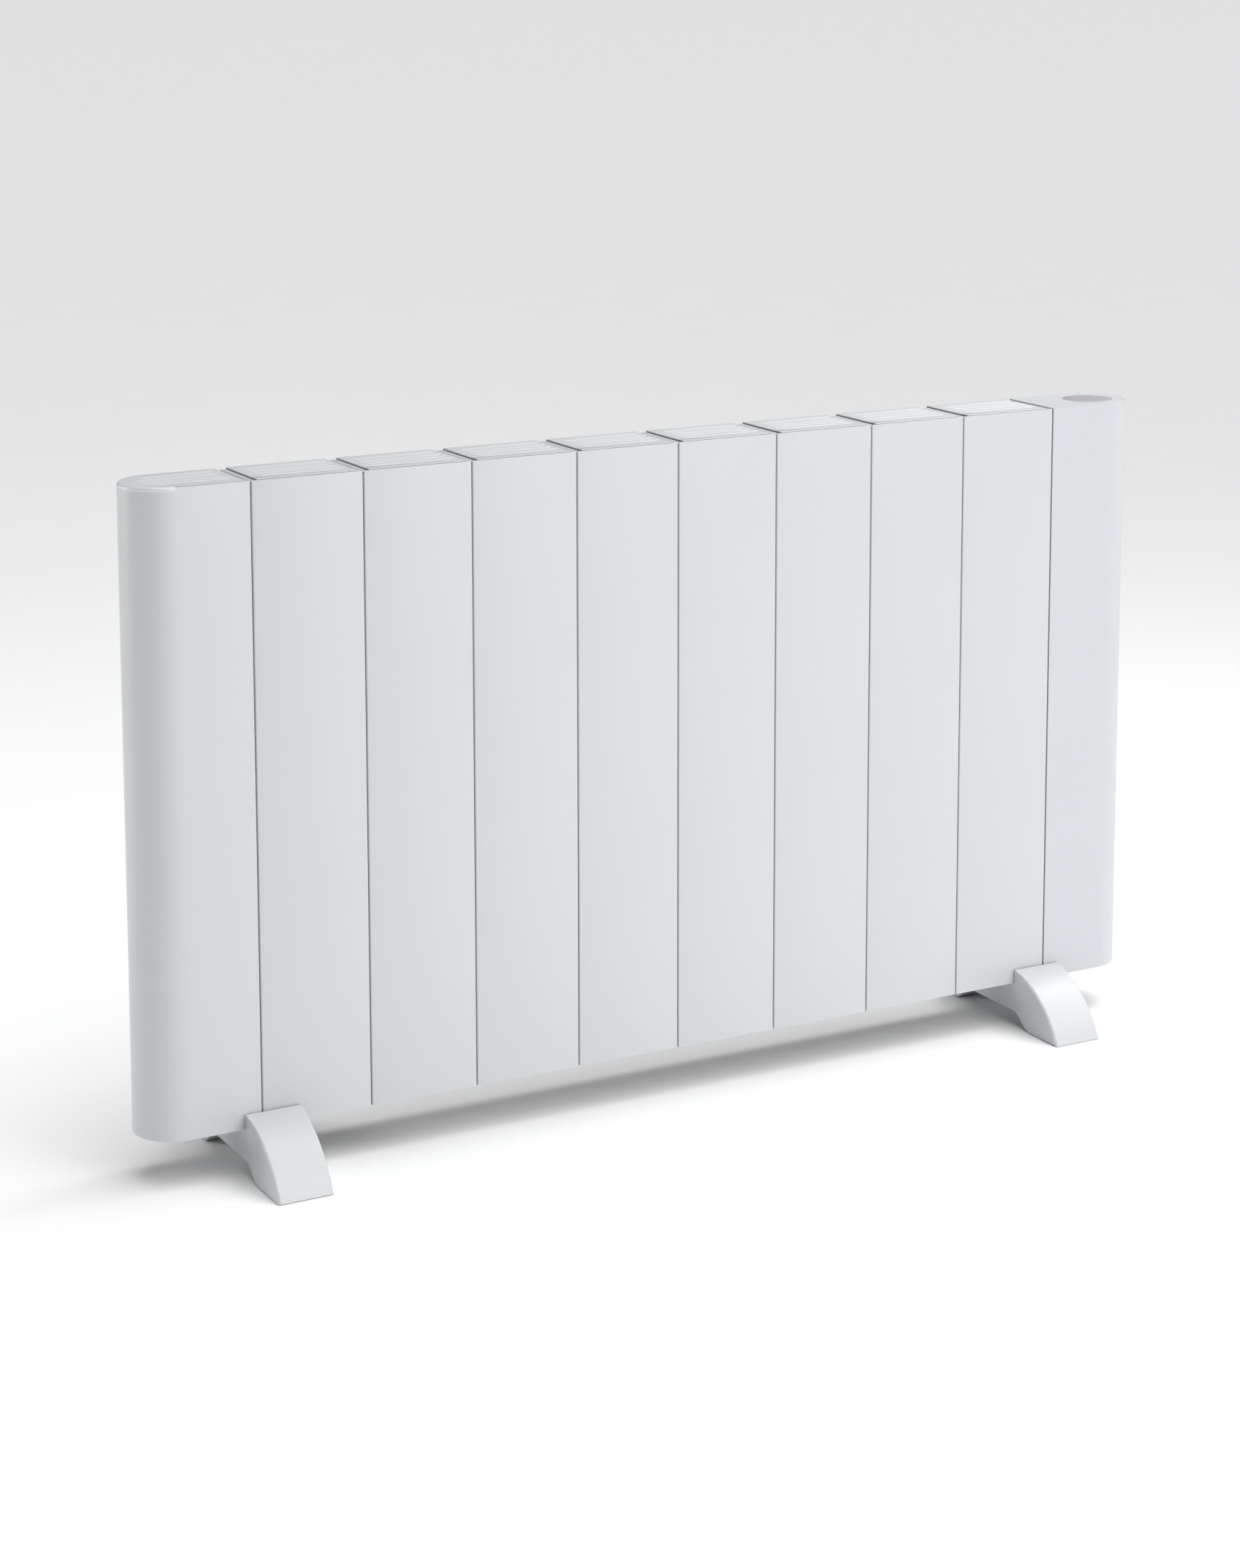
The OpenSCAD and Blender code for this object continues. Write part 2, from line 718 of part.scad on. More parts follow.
// Steel straps that hook over the lower header, each on a tapped plate
module foot_straps() {
    strap_w = 20;
    strap_t = 2.5;
    in_r = header_r + 0.3;
    out_r = in_r + strap_t;
    plate_t = 3;
    color(steel) for (side = foot_sides) translate([side * clamp_x, 0, 0]) difference() {
        union() {
            rod_x(out_r, -strap_w / 2, strap_w / 2, 0, low_header_z);
            block([-strap_w / 2, -out_r, low_z], [strap_w / 2, out_r, low_header_z]);
        }
        rod_x(in_r, -strap_w, strap_w, 0, low_header_z);
        block([-strap_w, -in_r, low_z + plate_t], [strap_w, in_r, low_header_z]);
        for (y = [-screw_y, screw_y]) rod_z(2.6, low_z - cut, low_z + plate_t + cut, 0, y);
    }
}

module foot_screws() {
    head_z = low_z - 12;
    color(steel) for (x = [-clamp_x, clamp_x], y = [-screw_y, screw_y]) difference() {
        union() {
            rod_z(2.5, head_z - cut, low_z + 8, x, y);
            rod_z(5, head_z - 5, head_z, x, y);
        }
        translate([x, y, head_z - 6]) cylinder(r = 2.9, h = 4, $fn = 6);
    }
}

module foot_pads() {
    color([0.3, 0.3, 0.31]) for (x = foot_xs, side = foot_sides)
        rod_z(pad_r, 0, pad_t, x, side * pad_y);
}

// ---------------------------------------------------------------- nodes

for (n = [1 : sections]) casing(n);
for (n = [1 : sections]) cap(n);
for (n = [1 : sections]) core(n);
header_nipples();
header_gaskets();
header_plugs();
fill_plug();
heating_element();
element_gasket();
thermal_cutout();
temperature_probe();
heat_shield();
column_shell();
column_lid();
column_base();
column_screws();
chassis();
board_spacers();
power_board();
relays();
terminal_block();
element_leads();
earth_stud();
thermostat();
thermostat_shaft();
control_dial();
switch_housing();
rocker();
cable_gland();
gland_nut();
foot(foot_xs[0]);  // foot_left
foot(foot_xs[1]);  // foot_right
foot_straps();
foot_screws();
foot_pads();
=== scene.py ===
# %% [markdown]
# # An oil filled radiator, finished in Blender
#
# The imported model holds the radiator's design: nine heating sections, a control column and two
# feet. This lesson dresses it. The parts a person sees are made again with rounded edges and
# real sheet thickness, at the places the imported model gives, and every part gets a finish.

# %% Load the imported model
import json
import math

import bmesh
import bpy
from mathutils import Matrix, Vector


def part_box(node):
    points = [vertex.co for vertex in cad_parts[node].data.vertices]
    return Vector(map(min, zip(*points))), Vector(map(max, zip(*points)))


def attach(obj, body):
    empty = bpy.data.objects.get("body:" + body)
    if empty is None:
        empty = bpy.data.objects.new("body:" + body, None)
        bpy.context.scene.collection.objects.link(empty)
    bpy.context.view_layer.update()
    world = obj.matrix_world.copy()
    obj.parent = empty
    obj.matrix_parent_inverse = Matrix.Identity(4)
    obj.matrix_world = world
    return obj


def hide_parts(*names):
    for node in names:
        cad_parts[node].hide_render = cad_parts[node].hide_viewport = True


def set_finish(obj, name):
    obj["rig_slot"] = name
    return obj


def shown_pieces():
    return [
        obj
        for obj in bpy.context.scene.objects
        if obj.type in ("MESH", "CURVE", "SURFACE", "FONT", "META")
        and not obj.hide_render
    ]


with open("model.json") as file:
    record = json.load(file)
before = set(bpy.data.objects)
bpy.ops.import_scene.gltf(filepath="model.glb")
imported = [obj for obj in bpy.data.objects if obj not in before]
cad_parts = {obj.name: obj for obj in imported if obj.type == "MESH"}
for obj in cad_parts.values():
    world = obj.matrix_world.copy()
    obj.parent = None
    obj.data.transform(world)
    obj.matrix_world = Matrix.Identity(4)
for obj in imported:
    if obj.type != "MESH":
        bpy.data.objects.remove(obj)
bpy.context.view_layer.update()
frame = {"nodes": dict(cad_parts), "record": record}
MM = 0.001
SECTIONS = sum(name.startswith("casing_") for name in frame["nodes"])
print("sections:", SECTIONS, "nodes:", len(frame["nodes"]))

# %% [markdown]
# ## The camera
#
# The radiator is looked at from its left front, a little from above. A plain tilt down would
# make its uprights run together, so the camera tilts less and its lens is shifted down instead,
# as a view camera's is. A camera looks along its own -Z, so the turn is built from the side,
# the up and the view direction.

# %% Camera
CAMERA_PLACE = Vector((-1.3913, -2.4758, 1.0456))
CAMERA_YAW = math.radians(28.645)
CAMERA_PITCH = math.radians(8.591)
CAMERA_ROLL = math.radians(-0.095)
LENS_MM = 75.05
LENS_SHIFT = -0.24

camera = bpy.data.objects.new("camera", bpy.data.cameras.new("camera"))
bpy.context.scene.collection.objects.link(camera)
camera.data.lens = LENS_MM
camera.data.sensor_width = 36
camera.data.shift_y = LENS_SHIFT
look = Vector((math.sin(CAMERA_YAW) * math.cos(CAMERA_PITCH),
               math.cos(CAMERA_YAW) * math.cos(CAMERA_PITCH),
               -math.sin(CAMERA_PITCH)))
level = Vector((math.cos(CAMERA_YAW), -math.sin(CAMERA_YAW), 0))
side = Matrix.Rotation(-CAMERA_ROLL, 3, look) @ level
up = side.cross(look)
turn = Matrix((side, up, -look)).transposed()
camera.matrix_world = Matrix.Translation(CAMERA_PLACE) @ turn.to_4x4()
bpy.context.scene.camera = camera
print("camera at", tuple(round(v, 3) for v in CAMERA_PLACE))

# %% [markdown]
# ## Places and sizes
#
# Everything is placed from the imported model's own boxes. Only small things that a box can't say,
# such as the radius of an edge, are named here.

# %% Places and sizes
casing_low, casing_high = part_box("casing_2")
shell_low, shell_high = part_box("column_shell")
cap_low, cap_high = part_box("cap_2")
dial_low, dial_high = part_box("control_dial")
TOP = casing_high.z
BOTTOM = casing_low.z
HALF_D = casing_high.y
CAP_T = 3.5 * MM
SEAT = TOP - CAP_T                        # the caps rest on the casings at this height
GROOVE_Z = TOP - 1.5 * MM                 # the floor of the grooves between the caps
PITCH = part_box("casing_3")[0].x - casing_low.x
GROOVE = cap_low.x - casing_low.x
DIAL_X = (dial_low.x + dial_high.x) / 2
DIAL_R = (dial_high.x - dial_low.x) / 2
print("section pitch mm:", round(PITCH / MM, 2))
print("top mm:", round(TOP / MM, 1), "groove mm:", round(GROOVE / MM, 2))

# %% [markdown]
# ## Turning a bmesh into a piece
#
# Each piece is modelled in place, so its object stays at the origin, as a CAD node's does. The
# faces are smooth, with sharp edges kept where two faces meet at more than 35 degrees. A large
# flat face is shaded flat, or the narrow roundings beside it would bend its reflections.

# %% Helpers for pieces
SHARP_ANGLE = math.radians(35)


def make_piece(name, bm, body, slot, replaces=(), outward=True, flat_mm2=math.inf):
    """Writes bm into a new object that rides on a body and stands for CAD nodes.

    Faces larger than flat_mm2 are shaded flat.
    """
    if outward:
        bmesh.ops.recalc_face_normals(bm, faces=bm.faces)
    mesh = bpy.data.meshes.new(name)
    bm.to_mesh(mesh)
    bm.free()
    for face in mesh.polygons:
        face.use_smooth = face.area < flat_mm2 * MM ** 2
    mesh.set_sharp_from_angle(angle=SHARP_ANGLE)
    piece = bpy.data.objects.new(name, mesh)
    bpy.context.scene.collection.objects.link(piece)
    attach(piece, body)
    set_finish(piece, slot)
    if replaces:
        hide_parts(*replaces)
    return piece


def add_wall(piece, thickness, group=None):
    """Gives a skin its sheet thickness, inwards from the face that is seen."""
    wall = piece.modifiers.new("wall", "SOLIDIFY")
    wall.thickness = thickness
    wall.offset = -1
    wall.use_even_offset = True
    if group:
        wall.vertex_group = group
    return wall


def round_edges(piece, radius, segments=2, angle=40):
    """Rounds every edge that is sharper than the angle."""
    bevel = piece.modifiers.new("edges", "BEVEL")
    bevel.width = radius
    bevel.segments = segments
    bevel.limit_method = "ANGLE"
    bevel.angle_limit = math.radians(angle)
    bevel.harden_normals = True
    return bevel


def near(value, target, slack=1e-5):
    """Whether two lengths are the same, to a hundredth of a millimetre unless told otherwise."""
    return abs(value - target) < slack


print("edges stay sharp above", round(math.degrees(SHARP_ANGLE)), "degrees")

# %% [markdown]
# ## Outlines
#
# The radiator is flat in front and half-round at both ends, so its plans are made of straight
# runs and arcs. A straight run is two vertices and an edge; an arc is one vertex that is spun
# round the arc's centre. Filling the closed outline gives a face that can be pushed up.

# %% Helpers for outlines
ARC_STEPS = 40
MERGE = 1e-6                              # vertices closer than this are one


def merge_doubles(bm):
    bmesh.ops.remove_doubles(bm, verts=bm.verts, dist=MERGE)


def run_to(bm, start, point):
    """A straight edge from a vertex to a point; returns the new end vertex."""
    end = bm.verts.new(point)
    bm.edges.new((start, end))
    return end


def arc_from(bm, start, centre, angle, axis=(0, 0, 1), steps=ARC_STEPS):
    """Spins a vertex round a centre and returns the arc's last vertex."""
    spun = bmesh.ops.spin(bm, geom=[start], cent=centre, axis=axis, dvec=(0, 0, 0),
                          angle=angle, steps=steps, use_merge=False, use_duplicate=False)
    return next(item for item in spun["geom_last"] if isinstance(item, bmesh.types.BMVert))


def fill_outline(bm):
    """Fills the closed outline in bm with one face that looks up."""
    merge_doubles(bm)
    bmesh.ops.edgenet_fill(bm, edges=bm.edges)
    bmesh.ops.recalc_face_normals(bm, faces=bm.faces)
    face = bm.faces[:][0]
    if face.normal.z < 0:
        bmesh.ops.reverse_faces(bm, faces=[face])
    return face


def close_outline(bm, first, last):
    """Joins the ends of an outline and fills it with one face."""
    bm.edges.new((last, first))
    return fill_outline(bm)


def half_round_outline(bm, flat_x, end_x, radius, z, hand):
    """A plan with flat sides from flat_x and a half-round end on the left (-1) or right (1)."""
    centre_x = end_x - hand * radius
    first = bm.verts.new((flat_x, -hand * radius, z))
    corner = run_to(bm, first, (centre_x, -hand * radius, z))
    arc_end = arc_from(bm, corner, (centre_x, 0, z), math.pi)
    last = run_to(bm, arc_end, (flat_x, hand * radius, z))
    return close_outline(bm, first, last)


print("straight pieces in the round end mm:",
      round(2 * HALF_D * math.sin(math.pi / ARC_STEPS / 2) / MM, 2))

# %% [markdown]
# ## Working on prisms
#
# A plan is pushed up into a closed prism, and then faces are taken off where the real part is
# open. Edges are picked by where they are, never by their number, so that they are still found
# when a size changes.

# %% Helpers for prisms
def moved_verts(made):
    """The vertices among the things that an extrusion made."""
    return [item for item in made["geom"] if isinstance(item, bmesh.types.BMVert)]


def push_up(bm, face, height):
    """Extrudes a face into a closed prism."""
    pushed = bmesh.ops.extrude_face_region(bm, geom=[face])
    bmesh.ops.translate(bm, verts=moved_verts(pushed), vec=(0, 0, height))
    bmesh.ops.recalc_face_normals(bm, faces=bm.faces)


def open_faces(bm, test):
    """Deletes the faces whose middle and normal pass a test."""
    gone = [f for f in bm.faces if test(f.calc_center_median(), f.normal)]
    bmesh.ops.delete(bm, geom=gone, context="FACES_ONLY")


def upright_edges(bm, low_z, high_z):
    """Edges that run from one height straight up to another."""
    return [e for e in bm.edges
            if near(min(v.co.z for v in e.verts), low_z)
            and near(max(v.co.z for v in e.verts), high_z)]


def pull(bm, edges, vector):
    """Extrudes edges, moves the new ones and returns them."""
    pulled = bmesh.ops.extrude_edge_only(bm, edges=edges)
    moved = moved_verts(pulled)
    bmesh.ops.translate(bm, verts=moved, vec=vector)
    return [e for e in pulled["geom"] if isinstance(e, bmesh.types.BMEdge) and e.is_boundary
            and all(v in moved for v in e.verts)]


def round_off(bm, geom, radius, segments, affect="EDGES"):
    """Rounds edges, or the corners at vertices, in the mesh itself."""
    bmesh.ops.bevel(bm, geom=geom, offset=radius, offset_type="OFFSET", segments=segments,
                    profile=0.5, affect=affect, material=-1, clamp_overlap=True)


print("prisms stand mm high:", round((TOP - BOTTOM) / MM, 1))

# %% [markdown]
# ## The casings: plan
#
# Each section is a folded sheet casing: a tube open above and below, with edges of about 1 mm.
# All are plain rectangles in plan but the first, which ends in a half-round. The tube could be
# four plates joined at their edges, but a prism with its ends taken off keeps the sheet in one
# piece round the corners, as the folded one is.

# %% Casing tube
FOLD_R = 0.9 * MM
FOLD_ANGLE = math.radians(60)             # corners sharper than this are folds


def casing_plan(bm, n, low, high):
    if n == 1:
        return half_round_outline(bm, high.x, low.x, HALF_D, BOTTOM, -1)
    first = bm.verts.new((low.x, -HALF_D, BOTTOM))
    corner = run_to(bm, first, (high.x, -HALF_D, BOTTOM))
    corner = run_to(bm, corner, (high.x, HALF_D, BOTTOM))
    last = run_to(bm, corner, (low.x, HALF_D, BOTTOM))
    return close_outline(bm, first, last)


def casing_tube(n, low, high):
    """A tube with folded corners, open above and below."""
    bm = bmesh.new()
    push_up(bm, casing_plan(bm, n, low, high), SEAT - BOTTOM)
    folds = [e for e in upright_edges(bm, BOTTOM, SEAT) if e.calc_face_angle(0) > FOLD_ANGLE]
    round_off(bm, folds, FOLD_R, 3)
    open_faces(bm, lambda middle, normal: abs(normal.z) > 0.9)
    return bm


print("casing tubes mm high:", round((SEAT - BOTTOM) / MM, 1))

# %% [markdown]
# ## The casings: rims and sheet
#
# The front panel stands nearly as high as the cap and thins towards its rim. On the left a
# flange is folded inwards a little below the caps' tops, which makes the floor of the groove.
# Both are open edges of the tube that are extruded, and Solidify gives the whole skin its
# thickness, scaled by a vertex group that is lower at the rim.

# %% Casings
SHEET_T = 2 * MM
SHEET_EDGE_R = 0.35 * MM
RIM_THIN = 0.6                            # the front panel's top rim, as a share of the sheet
RIM_DROP = 0.4 * MM                       # the rim stays this far below the caps
FLANGE_GAP = 0.3 * MM                     # between the groove's floor and the next cap


def top_edges(bm, test):
    """Open edges at the seat's height whose two vertices pass a test."""
    return [e for e in bm.edges
            if e.is_boundary and all(near(v.co.z, SEAT) and test(v.co) for v in e.verts)]


def raise_rims(bm, n, low):
    """Pulls up the front panel's rim and, on all but the first, folds the left flange."""
    front_start = low.x + HALF_D - 0.01 * MM if n == 1 else low.x - MM

    def in_front(p):
        return p.y < -HALF_D + FOLD_R * 1.1 and p.x > front_start

    raised = top_edges(bm, lambda p: in_front(p) or (n > 1 and near(p.x, low.x)))
    raised = pull(bm, raised, (0, 0, GROOVE_Z - SEAT))
    front = [e for e in raised if all(in_front(v.co) for v in e.verts)]
    left = [e for e in raised if e not in front]
    pull(bm, front, (0, 0, TOP - RIM_DROP - GROOVE_Z))
    if left:
        pull(bm, left, (GROOVE - FLANGE_GAP, 0, 0))


def make_casing(n):
    low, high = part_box(f"casing_{n}")
    bm = casing_tube(n, low, high)
    raise_rims(bm, n, low)
    piece = make_piece(f"casing_{n}_sheet", bm, "root", "casing_paint", [f"casing_{n}"],
                       outward=False, flat_mm2=5000)
    group = piece.vertex_groups.new(name="wall")
    rim = [v.index for v in piece.data.vertices if near(v.co.z, TOP - RIM_DROP)]
    group.add(range(len(piece.data.vertices)), 1.0, "REPLACE")
    group.add(rim, RIM_THIN, "REPLACE")
    add_wall(piece, SHEET_T, "wall")
    round_edges(piece, SHEET_EDGE_R)
    return piece


casings = [make_casing(n) for n in range(1, SECTIONS + 1)]
print("casings:", len(casings), "faces each:", len(casings[1].data.polygons))

# %% [markdown]
# ## The top caps: plan
#
# A cap is a plate that lies between two grooves. Its back right corner has a large radius, and
# the first cap follows the half-round end. Cutting a set of faces along a plane is used for the
# flutes below and for the column's windows later, so it is a helper.

# %% Cap plan
BACK_CORNER_R = 4 * MM
CUT_SLACK = 1e-7                          # a plane this close to a vertex goes through it


def cut_row(bm, faces, place, normal):
    """Cuts some faces along a plane and returns all faces that came of them."""
    geom = set(faces)
    for face in faces:
        geom.update(face.edges)
        geom.update(face.verts)
    cut = bmesh.ops.bisect_plane(bm, geom=list(geom), dist=CUT_SLACK, plane_co=place,
                                 plane_no=normal)
    return [item for item in cut["geom"] if isinstance(item, bmesh.types.BMFace)]


def cap_plan(bm, n, low, high):
    front_y = cap_low.y
    if n > 1:
        first = bm.verts.new((low.x, front_y, TOP))
        corner = run_to(bm, first, (high.x, front_y, TOP))
        corner = run_to(bm, corner, (high.x, HALF_D, TOP))
        last = run_to(bm, corner, (low.x, HALF_D, TOP))
        close_outline(bm, first, last)
    else:
        centre_x = low.x + HALF_D
        first = bm.verts.new((centre_x, -HALF_D, TOP))
        corner = run_to(bm, first, (centre_x, front_y, TOP))
        corner = run_to(bm, corner, (high.x, front_y, TOP))
        corner = run_to(bm, corner, (high.x, HALF_D, TOP))
        arc_start = run_to(bm, corner, (centre_x, HALF_D, TOP))
        arc_from(bm, arc_start, (centre_x, 0, TOP), math.pi)
        fill_outline(bm)
    back_right = [v for v in bm.verts if near(v.co.x, high.x) and near(v.co.y, HALF_D)]
    round_off(bm, back_right, BACK_CORNER_R, 6, affect="VERTICES")


print("a cap mm:", round((cap_high.x - cap_low.x) / MM, 1), "by",
      round((cap_high.y - cap_low.y) / MM, 1))

# %% [markdown]
# ## The top caps: flutes
#
# Four long flutes are pressed into a cap, with sloping walls and an air slot in each floor. They
# could be cut out with a boolean, but a press only moves the sheet. So the plan is cut into
# strips, each flute's face is inset and pushed down at once, which slopes its walls, and a
# second inset leaves the slot, whose face is taken out. The first cap's flutes start on an arc.

# %% Cap flutes
FLUTE_PITCH = 12 * MM
FLUTE_W = 7 * MM
FLUTE_D = 1.5 * MM
FLUTE_SLOPE = 2.3 * MM                    # how far its walls run in plan
FLUTE_CORNER_R = 1.5 * MM
FLUTE_START = 10 * MM                     # from the cap's left end
FLUTE_END = 7.5 * MM                      # from its right end
FIRST_FLUTE_END = 9.5 * MM                # the same, on the first cap
FLUTE_ARC_R = 27 * MM                     # the arc that the first cap's flutes start on
FLUTE_ARC_SHIFT = 9 * MM                  # its centre, right of the round end's centre
SLOT_INSET = 0.1 * MM


def flute_ends(n, y, low, high):
    """Where the flute at depth y starts and ends."""
    if n > 1:
        return low.x + FLUTE_START, high.x - FLUTE_END
    arc_x = low.x + HALF_D + FLUTE_ARC_SHIFT
    return arc_x - math.sqrt(FLUTE_ARC_R ** 2 - y ** 2), high.x - FIRST_FLUTE_END


def flute_faces(bm, n, low, high):
    """Cuts the plan and returns the faces where the flutes lie."""
    flutes = []
    for k in (-1.5, -0.5, 0.5, 1.5):
        y = k * FLUTE_PITCH
        for edge_y in (y - FLUTE_W / 2, y + FLUTE_W / 2):
            rest = [f for f in bm.faces if f not in flutes]
            cut_row(bm, rest, (0, edge_y, TOP), (0, 1, 0))
        row = [f for f in bm.faces if abs(f.calc_center_bounds().y - y) < FLUTE_W / 4]
        start, end = flute_ends(n, y, low, high)
        for end_x in (start, end):
            row = cut_row(bm, row, (end_x, 0, TOP), (1, 0, 0))
        flutes += [f for f in row if start < f.calc_center_bounds().x < end]
    return flutes


def press_flutes(bm, flutes):
    """Pushes the flutes down, rounds their corners and opens a slot in each floor."""
    bmesh.ops.inset_individual(bm, faces=flutes, thickness=FLUTE_SLOPE, depth=-FLUTE_D,
                               use_even_offset=True)
    slopes = [e for e in bm.edges if abs(e.verts[0].co.z - e.verts[1].co.z) > FLUTE_D / 2]
    round_off(bm, slopes, FLUTE_CORNER_R, 4)
    floors = [f for f in bm.faces
              if near(f.calc_center_median().z, TOP - FLUTE_D, 1e-4) and f.normal.z > 0.99]
    bmesh.ops.inset_individual(bm, faces=floors, thickness=SLOT_INSET, depth=0)
    bmesh.ops.delete(bm, geom=floors, context="FACES")


print("slots mm wide:", round((FLUTE_W - 2 * FLUTE_SLOPE - 2 * SLOT_INSET) / MM, 1))

# %% [markdown]
# ## The top caps: edges
#
# The plate's edge is turned down onto the casing. Along the front panel the turn is tight, so
# only a narrow gap is left there; on the other sides it is softer, and softest round the first
# cap's end. Last, each cap's right end falls away towards the groove: one cut makes the fold,
# and the vertices past it are lowered in proportion to their distance.

# %% Caps
CAP_SHEET = 1.2 * MM
CAP_EDGE_R = 0.8 * MM
FRONT_EDGE_R = 0.2 * MM
ROUND_CAP_EDGE_R = 2.2 * MM
TURN_ANGLE = math.radians(80)             # edges sharper than this are the turned-down rim
FALL_W = 4.5 * MM
FALL = 1.2 * MM


def turn_down_rim(bm, n):
    rim = [e for e in bm.edges if e.is_boundary and near(e.verts[0].co.z, TOP, 1e-4)]
    pull(bm, rim, (0, 0, -CAP_T))
    turned = [e for e in bm.edges
              if not e.is_boundary and e.calc_face_angle(0) > TURN_ANGLE
              and all(near(v.co.z, TOP, 1e-4) for v in e.verts)]
    at_panel = [e for e in turned if all(near(v.co.y, cap_low.y) for v in e.verts)]
    others = [e for e in turned if e not in at_panel]
    round_off(bm, at_panel, FRONT_EDGE_R, 1)
    others = [e for e in others if e.is_valid]
    round_off(bm, others, ROUND_CAP_EDGE_R if n == 1 else CAP_EDGE_R, 3)


def let_end_fall(bm, end_x):
    """Lowers the right end towards the groove."""
    fold_x = end_x - FALL_W
    cut_row(bm, bm.faces[:], (fold_x, 0, TOP), (1, 0, 0))
    for vert in bm.verts:
        if vert.co.x > fold_x and vert.co.z > SEAT + 0.1 * MM:
            vert.co.z -= FALL * (vert.co.x - fold_x) / FALL_W


def make_cap(n):
    low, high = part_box(f"cap_{n}")
    bm = bmesh.new()
    cap_plan(bm, n, low, high)
    press_flutes(bm, flute_faces(bm, n, low, high))
    turn_down_rim(bm, n)
    let_end_fall(bm, high.x)
    piece = make_piece(f"cap_{n}_sheet", bm, "root", "cap_paint", [f"cap_{n}"], outward=False,
                       flat_mm2=180)
    add_wall(piece, CAP_SHEET)
    return piece


caps = [make_cap(n) for n in range(1, SECTIONS + 1)]
print("caps:", len(caps), "faces:", [len(cap.data.polygons) for cap in caps[:2]])

# %% [markdown]
# ## The column's shell
#
# The control column is a moulded shell with one half-round side, open towards the sections. Its
# wall is 2.5 mm thick and thins to a narrow rim round the lid. A vertex group tells Solidify
# how thick each ring of the wall is, so the rim needs no faces of its own.

# %% Column shell
SHELL_T = 2.5 * MM
RIM_T = 1.2 * MM
LID_T = 3 * MM
housing_low, housing_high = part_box("switch_housing")
gland_low, gland_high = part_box("cable_gland")
SWITCH_X = (housing_low.x + housing_high.x) / 2
SWITCH_Z = (housing_low.z + housing_high.z) / 2
GLAND_Z = (gland_low.z + gland_high.z) / 2
SWITCH_WINDOW = (7.7 * MM, 13.2 * MM)     # half its width, half its height
GLAND_WINDOW = (6 * MM, 6 * MM)
STEP_H = 0.05 * MM                        # the height over which the wall thins to the rim


def cut_window(bm, x, z, half_size):
    """Takes a rectangular window round a place out of the back wall."""
    x0, x1 = x - half_size[0], x + half_size[0]
    z0, z1 = z - half_size[1], z + half_size[1]
    row = [f for f in bm.faces if f.normal.y > 0.99]
    for place, normal in (((x0, 0, 0), (1, 0, 0)), ((x1, 0, 0), (1, 0, 0)),
                          ((0, 0, z0), (0, 0, 1)), ((0, 0, z1), (0, 0, 1))):
        row = cut_row(bm, row, place, normal)
    inside = [f for f in row
              if x0 < f.calc_center_bounds().x < x1 and z0 < f.calc_center_bounds().z < z1]
    bmesh.ops.delete(bm, geom=inside, context="FACES")


def make_shell():
    bm = bmesh.new()
    plan = half_round_outline(bm, shell_low.x, shell_high.x, HALF_D, BOTTOM, 1)
    push_up(bm, plan, TOP - BOTTOM)
    open_faces(bm, lambda middle, normal: abs(normal.z) > 0.9 or normal.x < -0.9)
    for z in (TOP - LID_T, TOP - LID_T + STEP_H):
        cut_row(bm, bm.faces[:], (0, 0, z), (0, 0, 1))
    cut_window(bm, SWITCH_X, SWITCH_Z, SWITCH_WINDOW)
    cut_window(bm, SWITCH_X, GLAND_Z, GLAND_WINDOW)
    piece = make_piece("column_shell_moulding", bm, "root", "column_plastic", ["column_shell"],
                       outward=False, flat_mm2=5000)
    group = piece.vertex_groups.new(name="wall")
    rim_z = TOP - LID_T + STEP_H / 2
    group.add([v.index for v in piece.data.vertices if v.co.z < rim_z], 1.0, "REPLACE")
    group.add([v.index for v in piece.data.vertices if v.co.z > rim_z], RIM_T / SHELL_T,
              "REPLACE")
    add_wall(piece, SHELL_T, "wall")
    round_edges(piece, 0.3 * MM)
    return piece


shell = make_shell()
print("shell faces:", len(shell.data.polygons))

# %% [markdown]
# ## The lid
#
# The lid drops into the shell's rim and carries a collar for the dial. Its plan has a round
# hole, so the ring between outline and hole is filled with triangles; it is flat, so they don't
# show. A boolean could cut the hole, but it would leave a less even edge for the bevel.

# %% Lid
LID_GAP = 0.15 * MM
DIAL_GAP = 0.15 * MM
LID_SHEET = 1.5 * MM
COLLAR_H = 8 * MM


def make_lid():
    bm = bmesh.new()
    radius = HALF_D - RIM_T - LID_GAP
    end_x = shell_high.x - RIM_T - LID_GAP
    lid_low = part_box("column_lid")[0]
    plan = half_round_outline(bm, lid_low.x, end_x, radius, TOP, 1)
    bmesh.ops.delete(bm, geom=[plan], context="FACES_ONLY")
    ring = bmesh.ops.create_circle(bm, cap_ends=False, radius=DIAL_R + DIAL_GAP, segments=96)
    bmesh.ops.translate(bm, verts=ring["verts"], vec=(DIAL_X, 0, TOP))
    bmesh.ops.triangle_fill(bm, use_beauty=True, use_dissolve=False, edges=bm.edges[:])
    down = [f for f in bm.faces if f.normal.z < 0]
    bmesh.ops.reverse_faces(bm, faces=down)
    outer = [e for e in bm.edges if e.is_boundary and
             (e.verts[0].co - Vector((DIAL_X, 0, TOP))).length > DIAL_R + 2 * MM]
    inner = [e for e in bm.edges if e.is_boundary and e not in outer]
    pull(bm, outer, (0, 0, -LID_T))
    pull(bm, inner, (0, 0, -COLLAR_H))
    piece = make_piece("column_lid_moulding", bm, "root", "lid_plastic", ["column_lid"],
                       outward=False, flat_mm2=30)
    round_edges(piece, 0.3 * MM)
    add_wall(piece, LID_SHEET)
    return piece


lid = make_lid()
print("lid faces:", len(lid.data.polygons))

# %% [markdown]
# ## The dial
#
# The dial is a disc with a boss that is pushed onto the thermostat's shaft. It is round all
# over, so it is turned: one profile, from the middle of its face down to the bore of its boss,
# is spun once.

